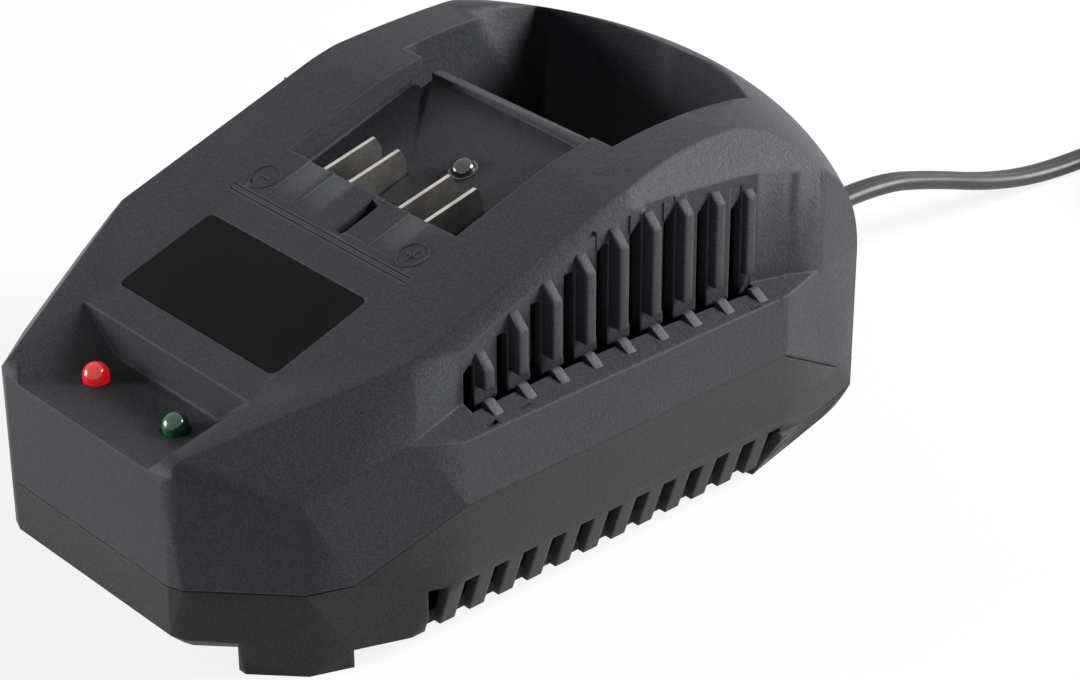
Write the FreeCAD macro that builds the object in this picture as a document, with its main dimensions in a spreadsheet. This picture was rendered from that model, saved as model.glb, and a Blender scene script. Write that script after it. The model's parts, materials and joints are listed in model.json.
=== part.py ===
import FreeCAD, Part
import math
import os
import Sketcher

os.makedirs("parts", exist_ok=True)

Vector = FreeCAD.Vector
Rotation = FreeCAD.Rotation
Placement = FreeCAD.Placement

# Battery charger: the front with the two lamps faces -Y, the lead leaves at +Y, the feet stand on Z = 0.
# Every "depth" is measured from the front face towards the rear, every "height" from the feet.
# Lengths are millimetres. Heights of sloping faces are given where they meet a named depth.
SIZES = {
    # casing, seen from above
    "body_length": 161.0,
    "body_width": 105.0,
    "front_flat_width": 46.8,
    "front_bevel_width": 2.9,
    "front_bevel_depth": 1.1,
    "nose_corner_width": 83.6,
    "nose_corner_depth": 15.9,
    "side_start_depth": 43.7,
    "side_end_depth": 122.6,
    "tail_corner_width": 93.4,
    "tail_corner_depth": 147.4,
    "wall": 2.4,
    # casing, seen from the side
    "foot_height": 3.6,
    "nose_height": 37.4,
    "nose_round_depth": 3.6,
    "nose_radius": 5.0,
    "roof_front_height": 40.9,
    "roof_bend_depth": 86.0,
    "roof_bend_height": 69.0,
    "roof_radius": 113.0,
    "roof_end_depth": 150.0,
    "roof_end_height": 66.5,
    "shoulder_width": 84.0,
    "cheek_corner_height": 34.8,
    "cheek_rear_depth": 34.1,
    "cheek_rear_height": 42.0,
    "cheek_roof_depth": 18.7,
    "cheek_roof_width": 64.8,
    "crown_centre_depth": 74.5,
    "crown_radius": 33.4,
    "crown_height": 73.0,
    "skirt_height": 15.0,
    "skirt_inset": 3.9,
    "base_bevel": 3.0,
    "foot_length": 15.5,
    "foot_width": 10.0,
    # seam between the two casing halves
    "seam_low_height": 16.7,
    "seam_high_height": 28.3,
    "seam_rise_depth": 24.2,
    "seam_drop_depth": 141.8,
    "seam_gap": 0.3,
    "seam_tongue_height": 2.2,
    "seam_tongue_thickness": 1.0,
    "fit_gap": 0.3,
    # battery bay
    "bay_front_depth": 66.0,
    "bay_width": 48.4,
    "bay_drop": 8.2,
    "bay_rear_depth": 101.4,
    "ridge_height": 67.3,
    "ridge_thickness": 2.4,
    "rail_groove_height": 3.0,
    "rail_groove_depth": 2.6,
    "well_width": 59.2,
    "well_corner_depth": 98.8,
    "well_radius": 66.2,
    "well_floor_height": 42.0,
    # lamp recess
    "lamp_floor_height": 38.7,
    "lamp_recess_depth": 18.6,
    "lamp_floor_width_rear": 29.5,
    "lamp_floor_width_front": 41.0,
    "lamp_wall_spread": 1.2,
    "lamp_spacing": 24.0,
    "lamp_depth": 11.7,
    "lamp_diameter": 5.0,
    "lamp_dome_centre": 39.6,
    "lamp_base_height": 33.4,
    "lamp_flange_radius": 2.9,
    "lamp_flange_thickness": 1.0,
    "lamp_leg_radius": 0.3,
    "lamp_leg_spacing": 2.5,
    "lamp_holder_width": 34.0,
    "lamp_holder_length": 8.0,
    # side louvres
    "louvre_wall_front_depth": 32.5,
    "louvre_wall_rear_depth": 134.5,
    "louvre_end_width": 99.8,
    "louvre_bow": 5.4,
    "sill_inner_height": 43.6,
    "sill_outer_height": 41.4,
    "rib_count": 9,
    "rib_first_depth": 53.2,
    "rib_pitch": 7.98,
    "rib_width": 2.7,
    "rib_stand": 2.6,
    "rib_slot_width": 2.6,
    "rib_foot_length": 2.6,
    "rib_clear_top": 3.4,
    # bottom vents
    "tooth_count": 13,
    "tooth_first_depth": 36.6,
    "tooth_pitch": 6.9,
    "tooth_gap": 3.5,
    "tooth_slot_height": 12.6,
    "tooth_slot_run": 5.4,
    # label
    "label_width": 45.5,
    "label_length": 22.3,
    "label_front_depth": 25.2,
    "label_thickness": 0.4,
    "label_corner": 1.6,
    "label_gap": 0.15,
    "key_slot_x": 3.3,
    "key_slot_width": 2.4,
    "key_slot_depth": 55.5,
    "key_slot_length": 9.3,
    # battery contacts
    "blade_outer_x": 14.5,
    "blade_inner_x": 7.2,
    "blade_thickness": 0.9,
    "blade_front_height": 61.4,
    "blade_rear_height": 64.2,
    "blade_length": 13.6,
    "blade_corner": 2.2,
    "blade_tail": 3.0,
    "carrier_height": 7.0,
    "carrier_width": 40.0,
    "carrier_margin": 4.5,
    # screws and posts
    "front_post_x": 33.0,
    "front_post_depth": 27.0,
    "rear_post_x": 38.5,
    "rear_post_depth": 131.0,
    "post_radius": 4.6,
    "post_joint_height": 14.0,
    "screw_radius": 1.5,
    "screw_length": 13.0,
    "screw_head_radius": 2.9,
    "screw_head_height": 2.2,
    "screw_seat_height": 9.0,
    "screw_sink_gap": 0.4,
    "thread_gap": 0.1,
    "snug_gap": 0.05,
    "drive_slot_width": 0.9,
    "drive_slot_depth": 1.1,
    # circuit board and what stands on it
    "board_height": 11.0,
    "board_thickness": 1.6,
    "board_half_width": 42.0,
    "board_nose_half_width": 26.0,
    "board_front_depth": 6.5,
    "board_step_depth": 36.0,
    "board_tail_step_depth": 122.0,
    "board_rear_depth": 140.0,
    "board_tail_half_width": 31.0,
    "standoff_radius": 3.2,
    "standoff_x": 37.5,
    "standoff_front_depth": 44.0,
    "standoff_rear_depth": 116.0,
    "board_screw_radius": 1.25,
    "board_screw_head_radius": 2.5,
    "board_screw_head_height": 1.8,
    "board_screw_length": 6.4,
    # supply lead
    "cord_radius": 2.25,
    "gland_height": 18.0,
    "gland_hole_radius": 4.6,
    "gland_flange_radius": 6.6,
    "gland_flange_thickness": 2.0,
    "gland_sleeve_length": 28.0,
    "gland_sleeve_radius": 4.3,
    "gland_tip_radius": 3.1,
    "inner_lead_length": 17.0,
    "clamp_width": 24.0,
    "clamp_length": 8.0,
    "clamp_height": 7.0,
    "clamp_screw_x": 8.5,
    "clamp_screw_length": 12.0,
    "wire_radius": 0.9,
    "wire_half_spacing": 1.1,
    "wire_bend_y": 53.5,
    # put-away coil and plug
    "coil_inner_radius": 22.5,
    "coil_turns_per_layer": 4,
    "coil_gap": 0.55,
    "coil_start_x": 3.0,
    "coil_start_y": 232.0,
    "coil_tail_length": 20.0,
    "floor_gap": 0.05,
    "plug_thickness": 14.2,
    "plug_width": 35.3,
    "plug_length": 31.0,
    "plug_neck_width": 13.0,
    "plug_sleeve_length": 14.0,
    "plug_sleeve_radius": 3.4,
    "plug_bevel": 3.0,
    "pin_radius": 2.0,
    "pin_length": 19.0,
    "pin_spacing": 18.6,
}

# What stands on the circuit board: x, depth of the middle, width, length and height
ON_BOARD = {
    "filter_capacitor": (-18.0, 134.0, 15.0, 6.5, 12.0),
    "bridge_rectifier": (-2.0, 126.0, 9.0, 6.0, 9.0),
    "line_choke": (19.0, 129.0, 12.0, 12.0, 7.0),
    "fuse": (-17.0, 125.0, 20.0, 5.2, 7.0),
    "input_capacitor": (28.5, 108.0, 16.0, 16.0, 24.0),
    "transformer": (0.0, 106.0, 30.0, 12.0, 24.0),
    "power_transistor": (-29.2, 98.0, 4.5, 10.2, 17.0),
    "primary_heatsink": (-33.0, 98.0, 3.0, 26.0, 24.0),
    "optocoupler": (-9.0, 89.0, 4.6, 6.5, 3.5),
    "output_diode": (-29.2, 70.0, 4.5, 10.2, 17.0),
    "secondary_heatsink": (-33.0, 70.0, 3.0, 24.0, 24.0),
    "output_capacitors": (30.0, 80.0, 10.0, 10.0, 18.0),
    "control_chip": (2.0, 50.0, 19.0, 6.5, 3.4),
    "output_choke": (14.0, 89.5, 9.0, 9.0, 9.0),
}
for part, values in ON_BOARD.items():
    for key, value in zip(("x", "depth", "width", "length", "height"), values):
        SIZES["%s_%s" % (part, key)] = value

doc = FreeCAD.newDocument("battery_charger")
sheet = doc.addObject("Spreadsheet::Sheet", "sizes")
for row, (alias, value) in enumerate(SIZES.items(), start=1):
    sheet.set("A%d" % row, alias)
    sheet.set("B%d" % row, str(value))
    sheet.setAlias("B%d" % row, alias)
doc.recompute()


class Size:
    """A length with the sheet expression that gives it, so that what uses it stays bound to the sheet."""

    def __init__(self, value, text):
        self.value = value
        self.text = text

    def __add__(self, other):
        other = as_size(other)
        return Size(self.value + other.value, "(%s + %s)" % (self.text, other.text))

    def __sub__(self, other):
        other = as_size(other)
        return Size(self.value - other.value, "(%s - %s)" % (self.text, other.text))

    def __mul__(self, factor):
        factor = as_size(factor)
        return Size(self.value * factor.value, "(%s * %s)" % (self.text, factor.text))

    def __truediv__(self, factor):
        factor = as_size(factor)
        return Size(self.value / factor.value, "(%s / %s)" % (self.text, factor.text))

    def __neg__(self):
        return Size(-self.value, "(0 - %s)" % self.text)


def as_size(number):
    return number if isinstance(number, Size) else Size(float(number), repr(float(number)))


def size(name):
    return Size(float(SIZES[name]), "sizes.%s" % name)


ZERO = as_size(0.0)
WALL = size("wall")
half_length = size("body_length") / 2
half_width = size("body_width") / 2


def along(depth):
    """Y of a depth behind the front face."""
    return as_size(depth) - half_length


def bind(item, prop, length):
    item.setExpression(prop, length.text)


# Planes for sketches that stand alone: local axes to the model's axes
PLANES = {
    "plan": Rotation(),
    "side": Rotation(Vector(1, 1, 1), 120),
    "front": Rotation(Vector(1, 0, 0), 90),
}


def draw(sketch, points, arcs=None):
    """Closed outline through points given as pairs of sizes; arcs gives the radius of some sides."""
    arcs = arcs or {}
    flat = [Vector(a.value, b.value, 0) for a, b in points]
    count = len(points)
    for side in range(count):
        start = flat[side]
        end = flat[(side + 1) % count]
        if side in arcs:
            radius = arcs[side]
            middle = (start + end) * 0.5
            half = (end - start).Length / 2
            sagitta = abs(radius.value) - math.sqrt(max(radius.value ** 2 - half ** 2, 0.0))
            across = Vector(-(end - start).y, (end - start).x, 0).normalize()
            top = middle + across * math.copysign(sagitta, radius.value)
            sketch.addGeometry(Part.Arc(start, top, end), False)
        else:
            sketch.addGeometry(Part.LineSegment(start, end), False)
    for side in range(count):
        following = (side + 1) % count
        end_of, start_of = 2, 1
        if side in arcs and arcs[side].value > 0:
            end_of = 1
        if following in arcs and arcs[following].value > 0:
            start_of = 2
        sketch.addConstraint(Sketcher.Constraint("Coincident", side, end_of, following, start_of))
    for side, (a, b) in enumerate(points):
        corner = 2 if side in arcs and arcs[side].value > 0 else 1
        index = sketch.addConstraint(Sketcher.Constraint("DistanceX", -1, 1, side, corner, a.value))
        sketch.setExpression("Constraints[%d]" % index, a.text)
        index = sketch.addConstraint(Sketcher.Constraint("DistanceY", -1, 1, side, corner, b.value))
        sketch.setExpression("Constraints[%d]" % index, b.text)
    for side, radius in arcs.items():
        index = sketch.addConstraint(Sketcher.Constraint("Radius", side, abs(radius.value)))
        sketch.setExpression("Constraints[%d]" % index, (radius if radius.value > 0 else -radius).text)
    return sketch


def outline(name, plane, points, arcs=None, lift=None):
    """A sketch that stands alone on one of the three planes, lifted along the plane's normal."""
    sketch = doc.addObject("Sketcher::SketchObject", name)
    sketch.Placement = Placement(Vector(), PLANES[plane])
    if lift is not None:
        axis, sign = {"plan": ("z", 1), "side": ("x", 1), "front": ("y", -1)}[plane]
        bind(sketch, "Placement.Base.%s" % axis, lift if sign > 0 else -lift)
    return draw(sketch, points, arcs)


def extrude(name, base, direction, forward, backward=ZERO):
    item = doc.addObject("Part::Extrusion", name)
    item.Base = base
    item.DirMode = "Custom"
    item.Dir = direction
    item.Solid = True
    bind(item, "LengthFwd", forward)
    bind(item, "LengthRev", backward)
    return item


def mirror(name, source):
    item = doc.addObject("Part::Mirroring", name)
    item.Source = source
    item.Normal = Vector(1, 0, 0)
    return item


def fuse(name, items):
    item = doc.addObject("Part::MultiFuse", name)
    item.Shapes = items
    item.Refine = True
    return item


def common(name, items):
    item = doc.addObject("Part::MultiCommon", name)
    item.Shapes = items
    return item


def cut(name, base, tool):
    item = doc.addObject("Part::Cut", name)
    item.Base = base
    item.Tool = tool
    item.Refine = True
    return item


def group(name, items):
    item = doc.addObject("Part::Compound", name)
    item.Links = items
    return item


def cylinder(name, x, y, z, radius, height):
    item = doc.addObject("Part::Cylinder", name)
    bind(item, "Radius", radius)
    bind(item, "Height", height)
    place(item, x, y, z)
    return item


def block(name, x, y, z, width, length, height):
    """A box centred on x, from y and z up."""
    item = doc.addObject("Part::Box", name)
    bind(item, "Length", width)
    bind(item, "Width", length)
    bind(item, "Height", height)
    place(item, as_size(x) - width / 2, y, z)
    return item


def place(item, x, y, z, rotation=None):
    item.Placement = Placement(Vector(), rotation or Rotation())
    bind(item, "Placement.Base.x", as_size(x))
    bind(item, "Placement.Base.y", as_size(y))
    bind(item, "Placement.Base.z", as_size(z))
    return item


# Casing envelope: plan outline, roof with bevelled shoulders, rounded tail and the two cheeks


front_half = size("front_flat_width") / 2
nose_half = size("nose_corner_width") / 2
tail_half = size("tail_corner_width") / 2
right_plan = [
    (front_half, along(0)),
    (front_half + size("front_bevel_width"), along(size("front_bevel_depth"))),
    (nose_half, along(size("nose_corner_depth"))),
    (half_width, along(size("side_start_depth"))),
    (half_width, along(size("side_end_depth"))),
    (tail_half, along(size("tail_corner_depth"))),
    (tail_half, along(size("body_length"))),
]
plan_points = right_plan + [(-x, y) for x, y in reversed(right_plan)]
plan_outline = outline("plan_outline", "plan", plan_points)

roof_slope = (size("roof_bend_height") - size("roof_front_height")) / size("roof_bend_depth")
roof_over = 4.0


def roof_height(depth):
    """Height of the straight front part of the roof at a depth."""
    return size("roof_front_height") + roof_slope * as_size(depth)


roof_points = [
    (along(0), -size("body_width")),
    (along(size("body_length") + roof_over), -size("body_width")),
    (along(size("body_length") + roof_over), size("roof_end_height") - size("nose_radius")),
    (along(size("roof_end_depth")), size("roof_end_height")),
    (along(size("roof_bend_depth")), size("roof_bend_height")),
    (along(size("nose_round_depth")), roof_height(size("nose_round_depth"))),
    (along(0), size("nose_height")),
]
roof_arcs = {3: -size("roof_radius"), 5: -size("nose_radius")}
roof_outline = outline("roof_outline", "side", roof_points, roof_arcs)


def cheek_plane():
    """Point and outward normal of the sloping face between the roof and the right nose corner."""
    def x_on_flank(depth):
        share = (depth - SIZES["nose_corner_depth"]) / (SIZES["side_start_depth"] - SIZES["nose_corner_depth"])
        return nose_half.value + share * (half_width.value - nose_half.value)
    corner = Vector(nose_half.value, along(size("nose_corner_depth")).value, SIZES["cheek_corner_height"])
    rear_depth = SIZES["cheek_rear_depth"]
    rear = Vector(x_on_flank(rear_depth), along(rear_depth).value, SIZES["cheek_rear_height"])
    roof_depth = SIZES["cheek_roof_depth"]
    roof = Vector(SIZES["cheek_roof_width"] / 2, along(roof_depth).value, roof_height(roof_depth).value)
    normal = (rear - corner).cross(roof - corner).normalize()
    return corner, normal


def envelope(tag, inset, floor):
    """The outer form of the whole casing, drawn in by inset and starting at the height floor."""
    plan = plan_outline
    roof = roof_outline
    if inset.value > 0:
        plan = doc.addObject("Part::Offset2D", tag + "_plan_inset")
        plan.Source = plan_outline
        bind(plan, "Value", -inset)
        roof = doc.addObject("Part::Offset2D", tag + "_roof_inset")
        roof.Source = roof_outline
        bind(roof, "Value", -inset)
    column = extrude(tag + "_plan", plan, Vector(0, 0, 1), size("crown_height") + floor)
    shoulder_half = size("shoulder_width") / 2 - inset * 0.4
    middle = extrude(tag + "_roof", roof, Vector(1, 0, 0), shoulder_half, shoulder_half)
    bevel = extrude(tag + "_shoulder_form", roof, Vector(1, 0, -1), (half_width - shoulder_half) * 1.6)
    place(bevel, shoulder_half, 0, 0)
    bevels = [bevel, mirror(tag + "_left_shoulder", bevel)]
    roofed = fuse(tag + "_roofed", [middle] + bevels)
    crown_radius = size("crown_radius") - inset
    wall_radius = size("body_length") - size("crown_centre_depth") - inset
    crown_top = size("crown_height") - inset
    crown_points = [
        (ZERO, floor),
        (wall_radius, floor),
        (wall_radius, crown_top - crown_radius),
        (wall_radius - crown_radius, crown_top),
        (ZERO, crown_top),
    ]
    crown_outline = outline(tag + "_crown_outline", "front", crown_points, {2: -crown_radius})
    crown = doc.addObject("Part::Revolution", tag + "_crown")
    crown.Source = crown_outline
    crown.Axis = Vector(0, 0, 1)
    crown.Angle = 360.0
    crown.Solid = True
    place(crown, 0, along(size("crown_centre_depth")), 0)
    body = common(tag + "_body", [column, roofed, crown])
    point, normal = cheek_plane()
    reach = size("body_width")
    cheek = doc.addObject("Part::Box", tag + "_right_cheek")
    bind(cheek, "Length", reach)
    bind(cheek, "Width", reach)
    bind(cheek, "Height", reach)
    turn = Rotation(Vector(0, 0, 1), normal)
    corner = point - normal * inset.value - turn.multVec(Vector(reach.value / 2, reach.value / 2, 0))
    cheek.Placement = Placement(corner, turn)
    skirt_points = [
        (half_width - inset, size("skirt_height")),
        (half_width - size("skirt_inset") - inset, size("foot_height")),
        (half_width - size("skirt_inset") - inset, ZERO),
        (half_width + WALL, ZERO),
        (half_width + WALL, size("skirt_height")),
    ]
    skirt = extrude(tag + "_right_skirt", outline(tag + "_skirt_outline", "front", skirt_points),
                    Vector(0, 1, 0), half_length, half_length)
    trims = fuse(tag + "_trims", [
        cheek, mirror(tag + "_left_cheek", cheek), skirt, mirror(tag + "_left_skirt", skirt),
    ])
    return cut(tag, body, trims)


outside = envelope("outside", ZERO, size("foot_height"))
inside = envelope("inside", WALL, size("foot_height") + WALL)
shell = cut("casing_shell", outside, inside)

# Seam: low at the front and the tail, raised along the sides
seam_span = size("body_width")


def above_seam(tag, lift):
    """Everything above the seam surface raised by lift."""
    points = [
        (along(-roof_over), size("seam_low_height") + lift),
        (along(size("seam_rise_depth")), size("seam_low_height") + lift),
        (along(size("side_start_depth")), size("seam_high_height") + lift),
        (along(size("side_end_depth")), size("seam_high_height") + lift),
        (along(size("seam_drop_depth")), size("seam_low_height") + lift),
        (along(size("body_length") + roof_over), size("seam_low_height") + lift),
        (along(size("body_length") + roof_over), size("body_width")),
        (along(-roof_over), size("body_width")),
    ]
    return extrude(tag, outline(tag + "_outline", "side", points), Vector(1, 0, 0), seam_span, seam_span)


upper_space = above_seam("upper_space", size("seam_gap"))
seam_space = above_seam("seam_space", ZERO)
lower_shell = cut("lower_shell", shell, seam_space)

# Inner lip on the lower half and the rebate for it in the upper half
lip_inset = WALL - size("seam_tongue_thickness")
lip_ring = cut("lip_ring", envelope("lip", lip_inset, size("foot_height") + WALL), inside)
lip_band = cut("lip_band", above_seam("lip_bottom", -size("seam_tongue_height")),
               above_seam("lip_top", size("seam_tongue_height")))
seam_lip = common("seam_lip", [lip_ring, lip_band])
rebate_space = cut("rebate_space", envelope("rebate", lip_inset - size("fit_gap"), size("foot_height") + WALL),
                   above_seam("rebate_top", size("seam_tongue_height") + size("fit_gap")))
upper_skin = common("upper_skin", [shell, upper_space])
upper_shell = cut("upper_shell", upper_skin, rebate_space)


# Battery bay: a tray that slopes with the roof, rail grooves in its sides and a deep well behind a ridge


bay_half = size("bay_width") / 2
well_half = size("well_width") / 2
sky = size("crown_height") + WALL


def tray_floor(depth):
    return roof_height(depth) - size("bay_drop")


def tray(tag, half, drop, front, rear):
    points = [
        (along(front), roof_height(front) - drop),
        (along(rear), roof_height(rear) - drop),
        (along(rear), sky),
        (along(front), sky),
    ]
    return extrude(tag, outline(tag + "_outline", "side", points), Vector(1, 0, 0), half, half)


bay_front = size("bay_front_depth")
bay_rear = size("bay_rear_depth")
tray_space = tray("tray_space", bay_half, size("bay_drop"), bay_front, bay_rear)
tray_block = tray("tray_block", bay_half + size("rail_groove_depth") + WALL, size("bay_drop") + WALL,
                  bay_front - WALL, bay_rear)
groove_points = [
    (along(bay_front), tray_floor(bay_front)),
    (along(bay_rear - WALL), tray_floor(bay_rear - WALL)),
    (along(bay_rear - WALL), tray_floor(bay_rear - WALL) + size("rail_groove_height")),
    (along(bay_front), tray_floor(bay_front) + size("rail_groove_height")),
]
groove_half = bay_half + size("rail_groove_depth")
groove_space = extrude("groove_space", outline("groove_outline", "side", groove_points),
                       Vector(1, 0, 0), groove_half, groove_half)
notch_space = block("notch_space", 0, along(bay_rear), size("ridge_height"), bay_half * 2,
                    size("ridge_thickness") + WALL, sky - size("ridge_height"))


def well(tag, grow, floor):
    """The well behind the ridge, its rear wall round about the crown's axis."""
    corner_half = well_half + grow
    radius = size("well_radius") + grow
    centre = size("crown_centre_depth")
    rise = math.sqrt(radius.value ** 2 - corner_half.value ** 2)
    side_end = centre + rise
    ridge_rear = bay_rear + size("ridge_thickness") - grow
    corner = size("well_corner_depth") - grow
    points = [
        (bay_half + grow, along(ridge_rear)),
        (bay_half + grow, along(corner)),
        (corner_half, along(corner)),
        (corner_half, along(side_end)),
        (-corner_half, along(side_end)),
        (-corner_half, along(corner)),
        (-bay_half - grow, along(corner)),
        (-bay_half - grow, along(ridge_rear)),
    ]
    if grow.value > 0:
        points = [
            (corner_half, along(corner)),
            (corner_half, along(side_end)),
            (-corner_half, along(side_end)),
            (-corner_half, along(corner)),
        ]
    sketch = outline(tag + "_outline", "plan", points, {3 if grow.value == 0 else 1: -radius}, floor)
    return extrude(tag, sketch, Vector(0, 0, 1), sky - floor)


well_space = well("well_space", ZERO, size("well_floor_height"))
well_block = well("well_block", WALL, size("well_floor_height") - WALL)


# Lamp recess: open to the front, its side walls lean outwards


def lamp_section(tag, height, grow):
    spread = size("lamp_wall_spread") * (height - size("lamp_floor_height"))
    rear_half = size("lamp_floor_width_rear") / 2 + spread + grow
    front_half_width = size("lamp_floor_width_front") / 2 + spread + grow
    rear = size("lamp_recess_depth") + grow
    points = [
        (front_half_width, along(-roof_over)),
        (rear_half, along(rear)),
        (-rear_half, along(rear)),
        (-front_half_width, along(-roof_over)),
    ]
    return outline(tag, "plan", points, lift=height)


def lamp_form(tag, floor, grow):
    loft = doc.addObject("Part::Loft", tag)
    top = size("lamp_floor_height") * 1.4
    loft.Sections = [lamp_section(tag + "_low", floor, grow), lamp_section(tag + "_high", top, grow)]
    loft.Solid = True
    loft.Ruled = True
    return loft


lamp_space = lamp_form("lamp_space", size("lamp_floor_height"), ZERO)
lamp_block = lamp_form("lamp_block", size("lamp_floor_height") - WALL, WALL)


# Side louvres: a bowed hollow above a sloping sill, with upright ribs and a slot in front of each


louvre_end_half = size("louvre_end_width") / 2
louvre_front = size("louvre_wall_front_depth")
louvre_rear = size("louvre_wall_rear_depth")
louvre_span = louvre_rear - louvre_front
louvre_radius = Size(
    (louvre_span.value ** 2 / 4 + SIZES["louvre_bow"] ** 2) / (2 * SIZES["louvre_bow"]),
    "((%s)^2 / 4 + sizes.louvre_bow^2) / (2 * sizes.louvre_bow)" % louvre_span.text)
outer_half = half_width + WALL


def sill_height(x):
    fall = (size("sill_inner_height") - size("sill_outer_height")) / size("louvre_bow")
    return size("sill_outer_height") + fall * (half_width - x)


def louvre_space(tag, grow):
    """The hollow beside the right wall; grow moves its wall inwards and its sill down."""
    plan = [
        (outer_half, along(louvre_front)),
        (outer_half, along(louvre_rear)),
        (louvre_end_half - grow, along(louvre_rear)),
        (louvre_end_half - grow, along(louvre_front)),
    ]
    sketch = outline(tag + "_plan_outline", "plan", plan, {2: -louvre_radius})
    column = extrude(tag + "_column", sketch, Vector(0, 0, 1), sky)
    inner = half_width - size("louvre_bow") * 3
    section = [
        (outer_half, sill_height(outer_half) - grow),
        (outer_half, sky),
        (inner, sky),
        (inner, sill_height(inner) - grow),
    ]
    over = extrude(tag + "_over_sill", outline(tag + "_section", "front", section), Vector(0, 1, 0),
                   half_length, half_length)
    return common(tag, [column, over])


right_louvre = louvre_space("right_louvre", ZERO)
right_louvre_block = louvre_space("right_louvre_block", WALL)


def louvre_wall_x(y):
    """X of the bowed wall at a place along the body."""
    middle = (along(louvre_front).value + along(louvre_rear).value) / 2
    radius = louvre_radius.value
    centre_x = louvre_end_half.value - SIZES["louvre_bow"] + radius
    return centre_x - math.sqrt(radius ** 2 - (y - middle) ** 2)


def roof_edge_height(x, y):
    """Height of the casing's skin above a point of the louvre wall."""
    depth = y + half_length.value
    low = SIZES["roof_front_height"] + roof_slope.value * min(depth, SIZES["roof_bend_depth"])
    if depth > SIZES["roof_bend_depth"]:
        start = Vector(SIZES["roof_bend_depth"], SIZES["roof_bend_height"], 0)
        end = Vector(SIZES["roof_end_depth"], SIZES["roof_end_height"], 0)
        half = (end - start).Length / 2
        down = Vector((end - start).y, -(end - start).x, 0).normalize()
        centre = (start + end) * 0.5 + down * math.sqrt(SIZES["roof_radius"] ** 2 - half ** 2)
        low = centre.y + math.sqrt(SIZES["roof_radius"] ** 2 - (depth - centre.x) ** 2)
    return low - (x - SIZES["shoulder_width"] / 2)


ribs = []
slots = []
for number in range(int(SIZES["rib_count"])):
    y = along(size("rib_first_depth") + size("rib_pitch") * number)
    wall_x = louvre_wall_x(y.value)
    top = roof_edge_height(wall_x, y.value)
    root = as_size(wall_x - SIZES["wall"] / 2)
    sill = sill_height(as_size(wall_x + SIZES["rib_stand"]))
    depth = size("rib_stand") + WALL / 2
    rib_top = as_size(top) - size("rib_clear_top") / 2
    profile = [
        (root, sill - WALL / 2),
        (root + depth, sill - WALL / 2),
        (root + depth, rib_top - size("rib_stand")),
        (root + WALL / 2, rib_top),
        (root, rib_top),
    ]
    sketch = outline("rib_outline_%d" % (number + 1), "front", profile, lift=-y)
    ribs.append(extrude("rib_%d" % (number + 1), sketch, Vector(0, -1, 0),
                        size("rib_width") / 2, size("rib_width") / 2))
    slot_y = y - size("rib_width") / 2 - size("rib_slot_width")
    slot_low = size("sill_inner_height") - size("rib_foot_length")
    slot_high = as_size(top) - size("rib_clear_top")
    slots.append(block("rib_slot_%d" % (number + 1), wall_x + 0.2, slot_y, slot_low,
                       WALL * 2.4, size("rib_slot_width"), slot_high - slot_low))
    slots.append(block("sill_slot_%d" % (number + 1), wall_x + SIZES["rib_foot_length"], slot_y,
                       slot_low - WALL, size("rib_foot_length") * 2, size("rib_slot_width"),
                       WALL * 3))

right_ribs = fuse("right_ribs", ribs)
right_slots = fuse("right_slots", slots)

# Openings through the skin and the posts for the casing screws


def blade_positions():
    outer = size("blade_outer_x")
    inner = size("blade_inner_x")
    return [("blade_1", -outer), ("blade_2", -inner), ("blade_3", inner), ("blade_4", outer)]


blade_front = bay_front + size("fit_gap") * 2
blade_rear = blade_front + size("blade_length")
through = [
    block(name + "_slot", x, along(blade_front) - size("fit_gap"), tray_floor(bay_front) - WALL * 2,
          size("blade_thickness") + size("fit_gap") * 2, size("blade_length") + size("fit_gap") * 2,
          size("bay_drop") + WALL)
    for name, x in blade_positions()
]
through.append(block("key_slot", size("key_slot_x"), along(size("key_slot_depth")),
                     roof_height(size("key_slot_depth")) - WALL * 2, size("key_slot_width"),
                     size("key_slot_length"), size("bay_drop")))
lamp_half_spacing = size("lamp_spacing") / 2
lamp_y = along(size("lamp_depth"))
lamp_hole_radius = size("lamp_diameter") / 2 + size("fit_gap") / 2
for name, x in (("red", -lamp_half_spacing), ("green", lamp_half_spacing)):
    through.append(cylinder(name + "_lamp_hole", x, lamp_y, size("lamp_floor_height") - WALL * 2,
                            lamp_hole_radius, WALL * 3))
roof_angle = math.degrees(math.atan(roof_slope.value))
label_y = along(size("label_front_depth"))
label_z = roof_height(size("label_front_depth"))
label_gap = size("label_gap")
label_turn = Rotation(Vector(1, 0, 0), roof_angle)


def on_roof(item, sink):
    """Lay an item on the roof's slope at the label's front edge, shifted down its normal by sink."""
    shift = label_turn.multVec(Vector(0, 0, -sink.value))
    item.Placement = Placement(Vector(0, label_y.value, label_z.value) + shift, label_turn)
    return item


def label_form(name, grow, bottom, height):
    """A plate with rounded corners on the roof's slope, from bottom below the roof's skin."""
    half = size("label_width") / 2 + grow
    length = size("label_length") + grow
    corner = size("label_corner")
    points = [
        (half - corner, -grow), (half, corner - grow), (half, length - corner), (half - corner, length),
        (corner - half, length), (-half, length - corner), (-half, corner - grow), (corner - half, -grow),
    ]
    sketch = outline(name + "_outline", "plan", points, {side: -corner for side in (0, 2, 4, 6)})
    on_roof(sketch, bottom)
    return extrude(name, sketch, label_turn.multVec(Vector(0, 0, 1)), height)


label_space = label_form("label_space", label_gap, size("label_thickness"), WALL)
through.append(label_space)

gland_y = along(size("body_length"))
gland_hole = cylinder("gland_hole", 0, 0, 0, size("gland_hole_radius"), WALL * 3)
gland_hole.Placement = Placement(Vector(), Rotation(Vector(1, 0, 0), -90))
bind(gland_hole, "Placement.Base.y", gland_y - WALL * 2)
bind(gland_hole, "Placement.Base.z", size("gland_height"))
through.append(gland_hole)

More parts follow.
